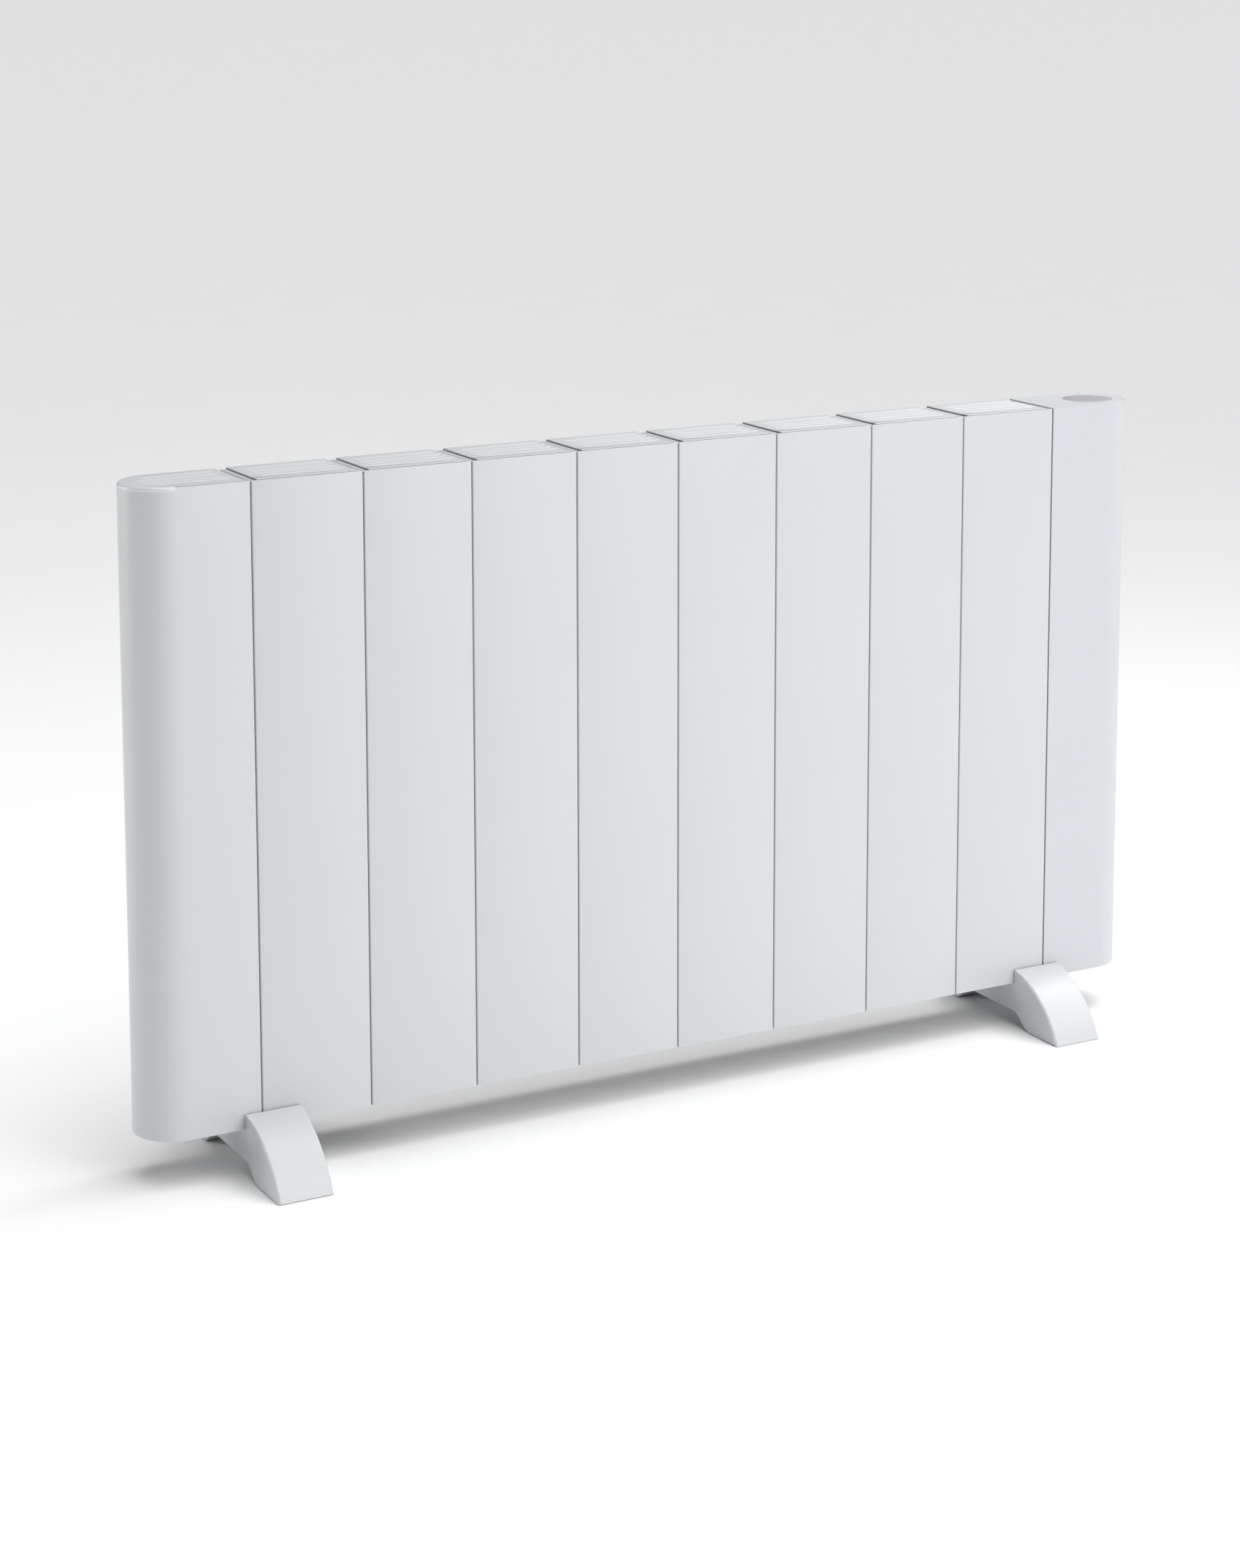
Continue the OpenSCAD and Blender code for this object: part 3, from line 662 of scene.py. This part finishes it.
# %% Dial
BOSS_R = 6 * MM
BORE_R = 3 * MM
BORE_TOP = TOP - 5 * MM
DISC_BACK = TOP - 3 * MM
DIAL_EDGE_R = 0.7 * MM
ROUND_SHARE = 0.3                         # where a rounding's middle point lies, from its corner


def make_dial():
    bm = bmesh.new()
    profile = [(0, TOP), (DIAL_R * 0.5, TOP), (DIAL_R - DIAL_EDGE_R, TOP),
               (DIAL_R - DIAL_EDGE_R * ROUND_SHARE, TOP - DIAL_EDGE_R * ROUND_SHARE),
               (DIAL_R, TOP - DIAL_EDGE_R), (DIAL_R, DISC_BACK), (BOSS_R, DISC_BACK),
               (BOSS_R, dial_low.z), (BORE_R, dial_low.z), (BORE_R, BORE_TOP), (0, BORE_TOP)]
    verts = [bm.verts.new((DIAL_X + r, 0, z)) for r, z in profile]
    for a, b in zip(verts, verts[1:]):
        bm.edges.new((a, b))
    bmesh.ops.spin(bm, geom=bm.verts[:] + bm.edges[:], cent=(DIAL_X, 0, 0), axis=(0, 0, 1),
                   dvec=(0, 0, 0), angle=math.tau, steps=96, use_merge=True, use_duplicate=False)
    merge_doubles(bm)
    return make_piece("control_dial_disc", bm, "dial", "dial_plastic", ["control_dial"])


dial = make_dial()
print("dial faces:", len(dial.data.polygons))

# %% [markdown]
# ## The feet: side view
#
# A foot is one moulding with a low arch: two toes with a flat base and a bowed top that runs up
# into a thin lip along the panel. Half of the side view is drawn and mirrored, because the foot
# is the same in front and behind, and the closed outline is filled.

# %% Foot side view
BOW_R = 95 * MM
BOW_STEPS = 28
ARCH_H = 15 * MM
ARCH_STEPS = 14
TOE_BASE = 44.5 * MM
LIP_GAP = 1.2 * MM
LIP_T = 1.2 * MM
FOOT_BASE_Z = 0.6 * MM


def bow_centre(a, b, radius):
    """Centre of the arc from a to b that bows upwards and outwards."""
    chord = b - a
    sag = math.sqrt(radius ** 2 - chord.length_squared / 4)
    inward = Vector((0, chord.z, -chord.y)).normalized()
    return (a + b) / 2 + inward * sag


def foot_side_view(bm, low, high):
    toe = Vector((low.x, low.y, FOOT_BASE_Z))
    lip = Vector((low.x, -HALF_D - LIP_GAP - LIP_T, high.z))
    centre = bow_centre(toe, lip, BOW_R)
    sweep = (toe - centre).angle(lip - centre)
    # the bowed top, from the toe's tip up to the lip, and down the lip to the seat
    tip = bm.verts.new(toe)
    lip_vert = arc_from(bm, tip, centre, -sweep, axis=(1, 0, 0), steps=BOW_STEPS)
    lip_back = run_to(bm, lip_vert, lip + Vector((0, LIP_T, 0)))
    seat = run_to(bm, lip_back, (low.x, -HALF_D - LIP_GAP, BOTTOM))
    run_to(bm, seat, (low.x, 0, BOTTOM))
    # the flat base, then the flank of the arch as a soft S
    heel_y = low.y + TOE_BASE
    below = tip
    for k in range(ARCH_STEPS + 1):
        t = k / ARCH_STEPS
        rise = (ARCH_H - FOOT_BASE_Z) * (1 - math.cos(math.pi * t)) / 2
        below = run_to(bm, below, (low.x, heel_y + (-HALF_D - heel_y) * t, FOOT_BASE_Z + rise))
    run_to(bm, below, (low.x, 0, ARCH_H))
    bmesh.ops.mirror(bm, geom=bm.verts[:] + bm.edges[:], matrix=Matrix.Identity(4),
                     merge_dist=1e-5, axis="Y")
    merge_doubles(bm)
    bmesh.ops.edgenet_fill(bm, edges=bm.edges)


print("arch mm high:", round(ARCH_H / MM, 1), "toe base mm:", round(TOE_BASE / MM, 1))

# %% [markdown]
# ## The feet: body and edges
#
# The side view is pushed across the foot's width. Its long edges have a radius of 3 mm, but the
# lip and the base are too thin for that, and one radius for all would fold them. So each edge
# carries its own bevel weight, a share of the full radius.

# %% Feet
FOOT_EDGE_R = 3 * MM
THIN_WEIGHT = 0.12                        # along the lip and the toes' tips
BASE_WEIGHT = 0.25                        # along the base and the arch


def weigh_foot_edges(piece, low, high):
    """Says on each edge which share of the full radius it gets."""
    heel_y = low.y + TOE_BASE
    weight = piece.data.attributes.new("bevel_weight_edge", "FLOAT", "EDGE")
    for edge in piece.data.edges:
        a, b = (piece.data.vertices[i].co for i in edge.vertices)
        middle = (a + b) / 2
        thin = abs(middle.y) < HALF_D + 14 * MM and middle.z > BOTTOM - 12 * MM
        low_arch = middle.z < ARCH_H + MM and abs(middle.y) < -heel_y + MM
        base = near(a.z, FOOT_BASE_Z) and near(b.z, FOOT_BASE_Z)
        if near(a.x, b.x):
            share = THIN_WEIGHT if thin else (BASE_WEIGHT if low_arch or base else 1.0)
            weight.data[edge.index].value = share
        elif near(abs(middle.y), -low.y, 1e-4) or near(middle.z, high.z, 1e-4):
            weight.data[edge.index].value = THIN_WEIGHT


def make_foot(name):
    low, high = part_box(name)
    bm = bmesh.new()
    foot_side_view(bm, low, high)
    pushed = bmesh.ops.extrude_face_region(bm, geom=bm.faces[:])
    bmesh.ops.translate(bm, verts=moved_verts(pushed), vec=(high.x - low.x, 0, 0))
    bmesh.ops.dissolve_limit(bm, angle_limit=math.radians(0.5), verts=bm.verts, edges=bm.edges)
    piece = make_piece(f"{name}_moulding", bm, "root", "foot_plastic", [name], flat_mm2=500)
    weigh_foot_edges(piece, low, high)
    bevel = piece.modifiers.new("edges", "BEVEL")
    bevel.width = FOOT_EDGE_R
    bevel.segments = 4
    bevel.limit_method = "WEIGHT"
    bevel.use_clamp_overlap = False
    bevel.harden_normals = True
    return piece


feet = [make_foot(name) for name in ("foot_left", "foot_right")]
print("foot faces:", len(feet[0].data.polygons))

# %% [markdown]
# ## Small parts with softened edges
#
# The switch, the gland, the screws and the column's base have the right shape already, with
# edges that are too crisp. Each is copied, its loose triangles are merged into whole faces, and
# a Bevel modifier takes the sharpness off.

# %% Softened small parts
SOFTENED = {                              # body, finish, edge radius in mm
    "switch_housing": ("root", "black_plastic", 0.4),
    "rocker": ("rocker", "black_plastic", 0.35),
    "cable_gland": ("root", "black_plastic", 0.5),
    "gland_nut": ("root", "black_plastic", 0.4),
    "column_screws": ("root", "zinc_steel", 0.25),
    "column_base": ("root", "column_plastic", 0.3),
    "foot_screws": ("root", "zinc_steel", 0.3),
    "foot_pads": ("root", "pad_rubber", 0.4),
    "foot_straps": ("root", "zinc_steel", 0.3),
}


def soften(node, body, slot, radius_mm):
    bm = bmesh.new()
    bm.from_mesh(frame["nodes"][node].data)
    merge_doubles(bm)
    bmesh.ops.dissolve_limit(bm, angle_limit=math.radians(1), verts=bm.verts, edges=bm.edges)
    piece = make_piece(f"{node}_soft", bm, body, slot, [node])
    round_edges(piece, radius_mm * MM, segments=2, angle=30)
    return piece


for node, (body, slot, radius_mm) in SOFTENED.items():
    soften(node, body, slot, radius_mm)
print("softened:", len(SOFTENED))

# %% [markdown]
# ## Shared surface effects
#
# Three effects turn up in nearly every finish, so each is a node group: a drift between two near
# colours, a roughness that wanders a little, as handled surfaces do, and a fine grain that feeds
# a bump. The shader itself stays in each material. The first group is the drift, a noise that
# mixes the two colours.

# %% Shared node groups
def new_group(name, inputs, outputs):
    """An empty shader node group with named sockets."""
    group = bpy.data.node_groups.new(name, "ShaderNodeTree")
    for socket, kind, default in inputs:
        made = group.interface.new_socket(socket, in_out="INPUT", socket_type=kind)
        if default is not None:
            made.default_value = default
    for socket, kind in outputs:
        group.interface.new_socket(socket, in_out="OUTPUT", socket_type=kind)
    return group, group.nodes.new("NodeGroupInput"), group.nodes.new("NodeGroupOutput")


def make_drift_group():
    group, given, made = new_group(
        "colour_drift",
        [("Vector", "NodeSocketVector", None), ("Colour", "NodeSocketColor", None),
         ("Other colour", "NodeSocketColor", None), ("Scale", "NodeSocketFloat", 6.0)],
        [("Colour", "NodeSocketColor")])
    noise = group.nodes.new("ShaderNodeTexNoise")
    noise.inputs["Detail"].default_value = 3
    mix = group.nodes.new("ShaderNodeMix")
    mix.data_type = "RGBA"
    link = group.links.new
    link(given.outputs["Vector"], noise.inputs["Vector"])
    link(given.outputs["Scale"], noise.inputs["Scale"])
    link(noise.outputs["Fac"], mix.inputs["Factor"])
    link(given.outputs["Colour"], mix.inputs["A"])
    link(given.outputs["Other colour"], mix.inputs["B"])
    link(mix.outputs["Result"], made.inputs["Colour"])
    return group


DRIFT = make_drift_group()
print("node group:", DRIFT.name)

# %% [markdown]
# ## Handled roughness and fine grain
#
# Handling leaves a surface a little smoother in one place than in another, so a slow noise is
# spread between a low and a high roughness. Grain is a mix of noise and cell pits: much noise
# for paint and mouldings, more pits for a cast surface.

# %% Roughness and grain
def make_handling_group():
    group, given, made = new_group(
        "handled_roughness",
        [("Vector", "NodeSocketVector", None), ("Scale", "NodeSocketFloat", 9.0),
         ("Low", "NodeSocketFloat", 0.35), ("High", "NodeSocketFloat", 0.45)],
        [("Roughness", "NodeSocketFloat")])
    noise = group.nodes.new("ShaderNodeTexNoise")
    noise.inputs["Detail"].default_value = 4
    noise.inputs["Roughness"].default_value = 0.6
    span = group.nodes.new("ShaderNodeMapRange")
    span.inputs["From Min"].default_value = 0.3
    span.inputs["From Max"].default_value = 0.7
    link = group.links.new
    link(given.outputs["Vector"], noise.inputs["Vector"])
    link(given.outputs["Scale"], noise.inputs["Scale"])
    link(noise.outputs["Fac"], span.inputs["Value"])
    link(given.outputs["Low"], span.inputs["To Min"])
    link(given.outputs["High"], span.inputs["To Max"])
    link(span.outputs["Result"], made.inputs["Roughness"])
    return group


def make_grain_group():
    group, given, made = new_group(
        "fine_grain",
        [("Vector", "NodeSocketVector", None), ("Scale", "NodeSocketFloat", 400.0),
         ("Pits", "NodeSocketFloat", 0.3)],
        [("Height", "NodeSocketFloat")])
    noise = group.nodes.new("ShaderNodeTexNoise")
    noise.inputs["Detail"].default_value = 2
    cells = group.nodes.new("ShaderNodeTexVoronoi")
    mix = group.nodes.new("ShaderNodeMix")
    link = group.links.new
    link(given.outputs["Vector"], noise.inputs["Vector"])
    link(given.outputs["Vector"], cells.inputs["Vector"])
    link(given.outputs["Scale"], noise.inputs["Scale"])
    link(given.outputs["Scale"], cells.inputs["Scale"])
    link(given.outputs["Pits"], mix.inputs["Factor"])
    link(noise.outputs["Fac"], mix.inputs["A"])
    link(cells.outputs["Distance"], mix.inputs["B"])
    link(mix.outputs["Result"], made.inputs["Height"])
    return group


HANDLING = make_handling_group()
GRAIN = make_grain_group()
print("node groups:", HANDLING.name, GRAIN.name)

# %% [markdown]
# ## Painted shade in the gaps
#
# The caps' turned-down edges look darker than their tops where they stand in a narrow gap.
# That darkness is shade, and the mask paints the shade that is seen there into the caps' colour.
# Powder may not reach into the gap well; that is a guess, and the mask only draws what is seen.
# It takes upright faces below a height, to the right of the first cap's round end.

# %% Painted shade mask
# painted shade: this mask marks where the caps' colour is darkened in the gaps
def make_gap_shade_group():
    """A mask for upright faces below a height and right of a start."""
    group, given, made = new_group(
        "painted_shade_in_gaps",
        [("Vector", "NodeSocketVector", None), ("Top", "NodeSocketFloat", 0.59),
         ("Bottom", "NodeSocketFloat", 0.58), ("Start", "NodeSocketFloat", 0.0)],
        [("Mask", "NodeSocketFloat")])
    place = group.nodes.new("ShaderNodeSeparateXYZ")
    depth = group.nodes.new("ShaderNodeMapRange")
    depth.inputs["To Min"].default_value = 1
    depth.inputs["To Max"].default_value = 0
    surface = group.nodes.new("ShaderNodeNewGeometry")
    facing = group.nodes.new("ShaderNodeSeparateXYZ")
    level = group.nodes.new("ShaderNodeMath")
    level.operation = "ABSOLUTE"
    steep = group.nodes.new("ShaderNodeMath")
    steep.operation = "SUBTRACT"
    steep.inputs[0].default_value = 1
    both = group.nodes.new("ShaderNodeMath")
    both.operation = "MULTIPLY"
    past_start = group.nodes.new("ShaderNodeMath")
    past_start.operation = "GREATER_THAN"
    gaps = group.nodes.new("ShaderNodeMath")
    gaps.operation = "MULTIPLY"
    link = group.links.new
    link(given.outputs["Vector"], place.inputs["Vector"])
    link(place.outputs["Z"], depth.inputs["Value"])
    link(given.outputs["Bottom"], depth.inputs["From Min"])
    link(given.outputs["Top"], depth.inputs["From Max"])
    link(surface.outputs["Normal"], facing.inputs["Vector"])
    link(facing.outputs["Z"], level.inputs[0])
    link(level.outputs["Value"], steep.inputs[1])
    link(steep.outputs["Value"], both.inputs[0])
    link(depth.outputs["Result"], both.inputs[1])
    link(place.outputs["X"], past_start.inputs[0])
    link(given.outputs["Start"], past_start.inputs[1])
    link(both.outputs["Value"], gaps.inputs[0])
    link(past_start.outputs["Value"], gaps.inputs[1])
    link(gaps.outputs["Value"], made.inputs["Mask"])
    return group


GAP_SHADE_GROUP = make_gap_shade_group()
print("node group:", GAP_SHADE_GROUP.name)

# %% [markdown]
# ## The finishes
#
# One function wires a finish: Object coordinates go through a Mapping node, which stretches
# them for a brushed metal, and then into the three groups. Colours are linear values, written
# as a pair of near tones; grain is given by the size of its grains and its depth.

# %% Helper for finishes
def finish(name, tones, roughness, grain_mm, depth_mm, metallic=0.0, coat=0.0, coat_roughness=0.2,
           drift=6.0, stretch=(1, 1, 1), pits=0.3, specular=0.5):
    """A material from a pair of tones, a span of roughness, and a grain's size and depth."""
    material = bpy.data.materials.new(name)
    material.use_nodes = True
    tree = material.node_tree
    shader = tree.nodes["Principled BSDF"]
    shader.inputs["Metallic"].default_value = metallic
    shader.inputs["Coat Weight"].default_value = coat
    shader.inputs["Coat Roughness"].default_value = coat_roughness
    shader.inputs["Specular IOR Level"].default_value = specular
    place = tree.nodes.new("ShaderNodeTexCoord")
    mapping = tree.nodes.new("ShaderNodeMapping")
    mapping.inputs["Scale"].default_value = stretch
    tree.links.new(place.outputs["Object"], mapping.inputs["Vector"])

    def use(group):
        node = tree.nodes.new("ShaderNodeGroup")
        node.node_tree = group
        tree.links.new(mapping.outputs["Vector"], node.inputs["Vector"])
        return node

    colour = use(DRIFT)
    colour.inputs["Colour"].default_value = (*tones[0], 1)
    colour.inputs["Other colour"].default_value = (*tones[1], 1)
    colour.inputs["Scale"].default_value = drift
    tree.links.new(colour.outputs["Colour"], shader.inputs["Base Color"])
    handled = use(HANDLING)
    handled.inputs["Low"].default_value = roughness[0]
    handled.inputs["High"].default_value = roughness[1]
    tree.links.new(handled.outputs["Roughness"], shader.inputs["Roughness"])
    grain = use(GRAIN)
    grain.inputs["Scale"].default_value = 1 / (grain_mm * MM)
    grain.inputs["Pits"].default_value = pits
    bump = tree.nodes.new("ShaderNodeBump")
    bump.inputs["Strength"].default_value = 1.0
    bump.inputs["Distance"].default_value = depth_mm * MM
    tree.links.new(grain.outputs["Height"], bump.inputs["Height"])
    tree.links.new(bump.outputs["Normal"], shader.inputs["Normal"])
    return material


def grey(value, cool=0.0):
    """A near-neutral tone; cool shifts it a little towards blue."""
    return (value * (1 - cool), value, value * (1 + cool))


print("a cool grey:", grey(0.5, 0.02))

# %% [markdown]
# ## Which finish goes where
#
# The sections are powder coated, which leaves a soft orange peel a few millimetres wide. The
# column and the feet are moulded in white plastic with a spark-eroded grain. Inside are cast
# aluminium, zinc plated and drawn steel, brass, rubber and black plastic.

# %% Finishes
FINISHES = {
    # casings and caps wear one white paint; the casings' tone is set darker, which paints shade
    # onto the sides against the tops
    "casing_paint": finish("casing_paint", (grey(0.59, 0.026), grey(0.61, 0.026)), (0.36, 0.42),
                           2.6, 0.010, coat=0.15, coat_roughness=0.25),
    "cap_paint": finish("cap_paint", (grey(0.68, 0.024), grey(0.70, 0.024)), (0.36, 0.42),
                        2.6, 0.008, coat=0.15, coat_roughness=0.25),
    "column_plastic": finish("column_plastic", ((0.560, 0.575, 0.598), (0.580, 0.595, 0.618)),
                             (0.38, 0.44), 0.7, 0.008),
    "lid_plastic": finish("lid_plastic", ((0.585, 0.605, 0.622), (0.605, 0.625, 0.642)),
                          (0.40, 0.46), 0.7, 0.010),
    "foot_plastic": finish("foot_plastic", (grey(0.58, 0.022), grey(0.60, 0.022)), (0.34, 0.40),
                           0.8, 0.008, coat=0.1),
    "dial_plastic": finish("dial_plastic", ((0.385, 0.37, 0.395), (0.405, 0.39, 0.415)),
                           (0.42, 0.48), 0.5, 0.006),
    "cast_core": finish("cast_core", (grey(0.42), grey(0.52)), (0.45, 0.60), 1.2, 0.08,
                        metallic=1.0, pits=0.6, drift=40),
    "zinc_steel": finish("zinc_steel", (grey(0.55, 0.02), grey(0.62, 0.02)), (0.28, 0.42),
                         0.6, 0.01, metallic=1.0, drift=60),
    "bright_steel": finish("bright_steel", (grey(0.60), grey(0.66)), (0.18, 0.30), 0.5, 0.008,
                           metallic=1.0, stretch=(0.08, 1, 1)),
    "gasket_rubber": finish("gasket_rubber", (grey(0.015), grey(0.022)), (0.70, 0.82), 0.8, 0.02),
    "brass": finish("brass", ((0.62, 0.44, 0.17), (0.68, 0.50, 0.22)), (0.25, 0.36), 0.5, 0.008,
                    metallic=1.0, drift=80),
    "terminal_plastic": finish("terminal_plastic", ((0.66, 0.66, 0.62), (0.70, 0.70, 0.66)),
                               (0.40, 0.50), 0.6, 0.01),
    "black_plastic": finish("black_plastic", (grey(0.012), grey(0.018)), (0.36, 0.46), 0.6, 0.012),
    "circuit_board": finish("circuit_board", ((0.010, 0.075, 0.035), (0.014, 0.095, 0.045)),
                            (0.28, 0.36), 1.0, 0.006, drift=120),
    "lead_silicone": finish("lead_silicone", ((0.30, 0.020, 0.016), (0.34, 0.028, 0.02)),
                            (0.50, 0.60), 0.8, 0.006),
    "pad_rubber": finish("pad_rubber", (grey(0.03), grey(0.04)), (0.70, 0.85), 0.7, 0.03),
}
print("finishes:", len(FINISHES))

# %% [markdown]
# ## Putting the finishes on
#
# The caps' paint gets a darker tone, painted shade, where the gap mask is on. Then every imported
# node takes the finish that the record names for it, and every new piece the one of its slot.

# %% Put the finishes on
# painted shade: the dark tone that darkens the caps' edges in the gaps
GAP_SHADE_TONE = grey(0.12, 0.06)
GAP_TOP = TOP - 0.15 * MM                 # the dark tone starts here
GAP_BOTTOM = TOP - 0.4 * MM               # and is full from here down


def paint_gap_shade(material, tone, top, bottom, start_x):
    """Mixes a darker tone, painted shade, into a finish's colour where the gap mask is on."""
    tree = material.node_tree
    shader = tree.nodes["Principled BSDF"]
    painted = shader.inputs["Base Color"].links[0].from_socket
    place = tree.nodes.new("ShaderNodeTexCoord")
    mask = tree.nodes.new("ShaderNodeGroup")
    mask.node_tree = GAP_SHADE_GROUP
    mask.inputs["Top"].default_value = top
    mask.inputs["Bottom"].default_value = bottom
    mask.inputs["Start"].default_value = start_x
    mix = tree.nodes.new("ShaderNodeMix")
    mix.data_type = "RGBA"
    mix.inputs["B"].default_value = (*tone, 1)
    tree.links.new(place.outputs["Object"], mask.inputs["Vector"])
    tree.links.new(mask.outputs["Mask"], mix.inputs["Factor"])
    tree.links.new(painted, mix.inputs["A"])
    tree.links.new(mix.outputs["Result"], shader.inputs["Base Color"])


# the caps' edges in the gaps get painted shade, right of the first cap's round end
paint_gap_shade(FINISHES["cap_paint"], GAP_SHADE_TONE, GAP_TOP, GAP_BOTTOM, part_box("cap_1")[0].x + HALF_D)
slot_of = {row["node"]: row["material_slot"] for row in frame["record"]["subparts"]}
for node, cad in frame["nodes"].items():
    cad.data.materials.clear()
    cad.data.materials.append(FINISHES[slot_of[node]])
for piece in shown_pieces():
    if "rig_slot" in piece and not piece.data.materials:
        piece.data.materials.append(FINISHES[piece["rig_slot"]])
print("nodes with a finish:", len(frame["nodes"]))

# %% [markdown]
# ## The floor
#
# A plain pale floor, so large that its edge lies at the horizon. It is staging, not part of the
# radiator.

# %% Floor
FLOOR_HALF = 60
bm = bmesh.new()
bmesh.ops.create_grid(bm, x_segments=8, y_segments=8, size=FLOOR_HALF)
floor_mesh = bpy.data.meshes.new("floor")
bm.to_mesh(floor_mesh)
bm.free()
floor = bpy.data.objects.new("floor", floor_mesh)
bpy.context.scene.collection.objects.link(floor)
floor.data.materials.append(finish("floor_paint", (grey(0.93), grey(0.95)), (0.75, 0.85), 2, 0.01,
                                   specular=0.2))
print("floor m wide:", 2 * FLOOR_HALF)

# %% [markdown]
# ## The surround
#
# Behind the floor lies an even pale surround. Seen directly it should be pale, but at that
# strength it would light the radiator from all sides and flatten it. So Light Path tells rays
# that come straight from the camera from all others: the first see the backdrop's strength, the
# others the much lower one that lights the part.

# %% Surround
SURROUND_STRENGTH = 0.15
BACKDROP_STRENGTH = 0.85                  # the same surround, where it is looked at directly
scene = bpy.context.scene
scene.view_settings.view_transform = "Standard"
world = bpy.data.worlds.new("surround")
scene.world = world
world.use_nodes = True
surround = world.node_tree.nodes["Background"]
surround.inputs["Color"].default_value = (0.96, 0.98, 1, 1)
seen = world.node_tree.nodes.new("ShaderNodeLightPath")
strength = world.node_tree.nodes.new("ShaderNodeMapRange")
strength.inputs["To Min"].default_value = SURROUND_STRENGTH
strength.inputs["To Max"].default_value = BACKDROP_STRENGTH
world.node_tree.links.new(seen.outputs["Is Camera Ray"], strength.inputs["Value"])
world.node_tree.links.new(strength.outputs["Result"], surround.inputs["Strength"])
print("surround strength:", SURROUND_STRENGTH, "seen directly:", BACKDROP_STRENGTH)

# %% [markdown]
# ## The lamps
#
# Plain soft studio light. The key is a sun with a very wide disc, so that it is as even as an
# overcast window: it stands high on the right, which leaves the round left end a little darker.
# A soft box in front and one over the right end add a slow change along the sections, and a
# small one behind on the left lifts the round end's outline.

# %% Lamps
KEY_POWER = 2.3
KEY_WIDTH = math.radians(70)
KEY_YAW = math.radians(45)                # from the front towards the right
KEY_HEIGHT = math.radians(70)
BOXES = {                                 # power, size, place, target
    "front_box": (16.5, 1.2, (0.6, -1.9, 0.9), (0.15, 0, 0.3)),
    "right_box": (13, 1.0, (1.2, 0.1, 1.8), (0.2, 0, 0.59)),
    "left_box": (15, 0.8, (-2.1, 1.2, 0.8), (-0.45, 0, 0.3)),
}


def aim(light, direction):
    """Turns a light so that it shines along a direction."""
    light.rotation_mode = "QUATERNION"
    light.rotation_quaternion = Vector(direction).to_track_quat("-Z", "Y")


def add_light(name, kind, power):
    data = bpy.data.lights.new(name, kind)
    data.energy = power
    light = bpy.data.objects.new(name, data)
    scene.collection.objects.link(light)
    return light


key = add_light("key", "SUN", KEY_POWER)
key.data.angle = KEY_WIDTH
aim(key, (-math.sin(KEY_YAW) * math.cos(KEY_HEIGHT), math.cos(KEY_YAW) * math.cos(KEY_HEIGHT),
          -math.sin(KEY_HEIGHT)))

for name, (power, size, place, target) in BOXES.items():
    box = add_light(name, "AREA", power)
    box.data.shape = "SQUARE"
    box.data.size = size
    box.location = place
    aim(box, Vector(target) - box.location)
print("lamps:", 1 + len(BOXES))
